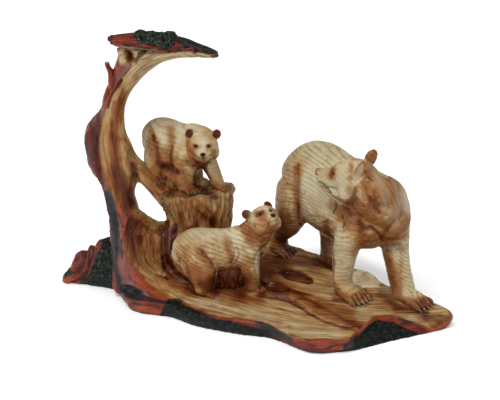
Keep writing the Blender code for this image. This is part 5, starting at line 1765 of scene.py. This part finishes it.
class BEARS_OT_mother(bpy.types.Operator):
    """Make the mother bear"""

    bl_idname = "bear_family.mother"
    bl_label = "Mother bear"

    def execute(self, context):
        carve_bear(mother(), sizes().mother_step, mother_sheets, MOTHER_RINGS, MOTHER_CREASES, MOTHER_STROKES)
        return {"FINISHED"}


class BEARS_OT_cubs(bpy.types.Operator):
    """Make the cub on the stump and the crouching cub"""

    bl_idname = "bear_family.cubs"
    bl_label = "Cubs"

    def execute(self, context):
        step = sizes().cub_step
        carve_bear(stump_cub(), step, stump_cub_sheets, STUMP_CUB_RINGS, STUMP_CUB_CREASES, STUMP_CUB_STROKES)
        carve_bear(ground_cub(), step, ground_cub_sheets, GROUND_CUB_RINGS, GROUND_CUB_CREASES,
                   GROUND_CUB_STROKES)
        return {"FINISHED"}


class BEARS_OT_tree(bpy.types.Operator):
    """Make the trunk with its stump, the canopy and the root"""

    bl_idname = "bear_family.tree"
    bl_label = "Tree and stump"

    def execute(self, context):
        material = driftwood_paint("driftwood")
        fine = sizes().moss_step
        limbs = [in_plane(rows) for rows in LIMBS]
        limbs += [in_plane(STUMP, cap=0.22, square=2.3, around=48), moved(ball(*LUMP), FACING)]
        roof = [in_plane(CANOPY, square=2.6)] + [moved(ball(*row), FACING) for row in FOLIAGE]
        carve_wood(Skin("driftwood_tree", limbs, sizes().wood_step), carve_tree, material)
        carve_wood(Skin("bark_canopy", roof, fine), carve_canopy, material)
        carve_wood(Skin("mossy_root", [in_plane(ROOT_MOUND)], fine), carve_root, material)
        return {"FINISHED"}


class BEARS_OT_base(bpy.types.Operator):
    """Make the driftwood base"""

    bl_idname = "bear_family.base"
    bl_label = "Base"

    def execute(self, context):
        skin = Skin("driftwood_base", [base_shell()], sizes().base_step, 1)
        carve_wood(skin, carve_base, driftwood_paint("base_driftwood"))
        return {"FINISHED"}


# The corners of the floor, for a half width of 1
FLOOR = np.array([(-1, -1, 0), (1, -1, 0), (1, 1, 0), (-1, 1, 0)])
FLOOR_WHITE = (0.95, 0.95, 0.95, 1)
# The strength of the white world: what falls on the cast, what the camera sees more, what a reflection loses
SKY, SKY_SEEN, SKY_MIRRORED = 0.58, 0.42, 0.53
# Suns: where each shines from, its strength, and how soft it is in degrees
SUNS = [("key", (-0.4, -1.0, 1.25), 1.75, 45), ("fill", (1.0, -0.7, 0.9), 0.35, 50),
        ("rim", (0.2, 1.0, 1.2), 0.5, 50), ("spark", (0.2, -0.7, 1.3), 0.8, 7)]


def aimed(toward):
    """The rotation of a lamp or camera whose back is turned to a direction."""
    return Vector(toward).to_track_quat("Z", "Y").to_euler()


class BEARS_OT_stage(bpy.types.Operator):
    """Make the floor, the lights and the camera"""

    bl_idname = "bear_family.stage"
    bl_label = "Stage"

    def execute(self, context):
        floor = placed("floor", joined("floor", [(FLOOR, [(0, 1, 2, 3)])], sizes().floor_width / 2))
        pale = bpy.data.materials.new("pale_floor")
        pale.use_nodes = True
        shader = pale.node_tree.nodes["Principled BSDF"]
        shader.inputs["Base Color"].default_value = FLOOR_WHITE
        shader.inputs["Roughness"].default_value = 0.9
        floor.data.materials.append(pale)
        world = bpy.data.worlds.new("studio")
        world.use_nodes = True
        studio = Wire(world.node_tree)
        seen = studio.node("LightPath", {}, {}, "Is Camera Ray")
        mirrored = studio.node("LightPath", {}, {}, "Is Glossy Ray")
        shade = world.node_tree.nodes["Background"]
        shade.inputs["Color"].default_value = (1, 1, 1, 1)
        strength = SKY + seen * SKY_SEEN - mirrored * SKY_MIRRORED
        world.node_tree.links.new(strength.socket, shade.inputs["Strength"])
        context.scene.world = world
        for name, toward, strength, softness in SUNS:
            sun = bpy.data.lights.new(name, "SUN")
            sun.energy = strength
            sun.angle = math.radians(softness)
            placed(name, sun).rotation_euler = aimed(toward)
        camera = placed("camera", bpy.data.cameras.new("camera"))
        camera.data.lens = LENS
        camera.data.sensor_width = SENSOR
        camera.location = Vector(EYE * UNIT)
        camera.rotation_euler = aimed(BACK)
        context.scene.camera = camera
        context.scene.view_settings.view_transform = "Standard"
        return {"FINISHED"}


class BEARS_PT_panel(bpy.types.Panel):
    """The sizes, colours and pieces of the casting"""

    bl_idname = "BEARS_PT_panel"
    bl_label = "Bear family"
    bl_space_type = "VIEW_3D"
    bl_region_type = "UI"
    bl_category = "Bears"

    def draw(self, context):
        for group in (context.scene.bear_sizes, context.scene.bear_colours):
            for name in group.__annotations__:
                self.layout.prop(group, name)
        for step in STEPS:
            self.layout.operator(step.bl_idname)


STEPS = (BEARS_OT_stage, BEARS_OT_base, BEARS_OT_tree, BEARS_OT_mother, BEARS_OT_cubs)
CLASSES = (CastSizes, CastColours, *STEPS, BEARS_PT_panel)


def register():
    """Adds the classes and the settings to the scene."""
    for made in CLASSES:
        bpy.utils.register_class(made)
    bpy.types.Scene.bear_sizes = PointerProperty(type=CastSizes)
    bpy.types.Scene.bear_colours = PointerProperty(type=CastColours)


def unregister():
    """Takes them away again."""
    del bpy.types.Scene.bear_colours
    del bpy.types.Scene.bear_sizes
    for made in reversed(CLASSES):
        bpy.utils.unregister_class(made)


def main():
    """Makes every piece in order."""
    register()
    for step in STEPS:
        family, name = step.bl_idname.split(".")
        getattr(getattr(bpy.ops, family), name)()


if __name__ == "__main__":
    main()
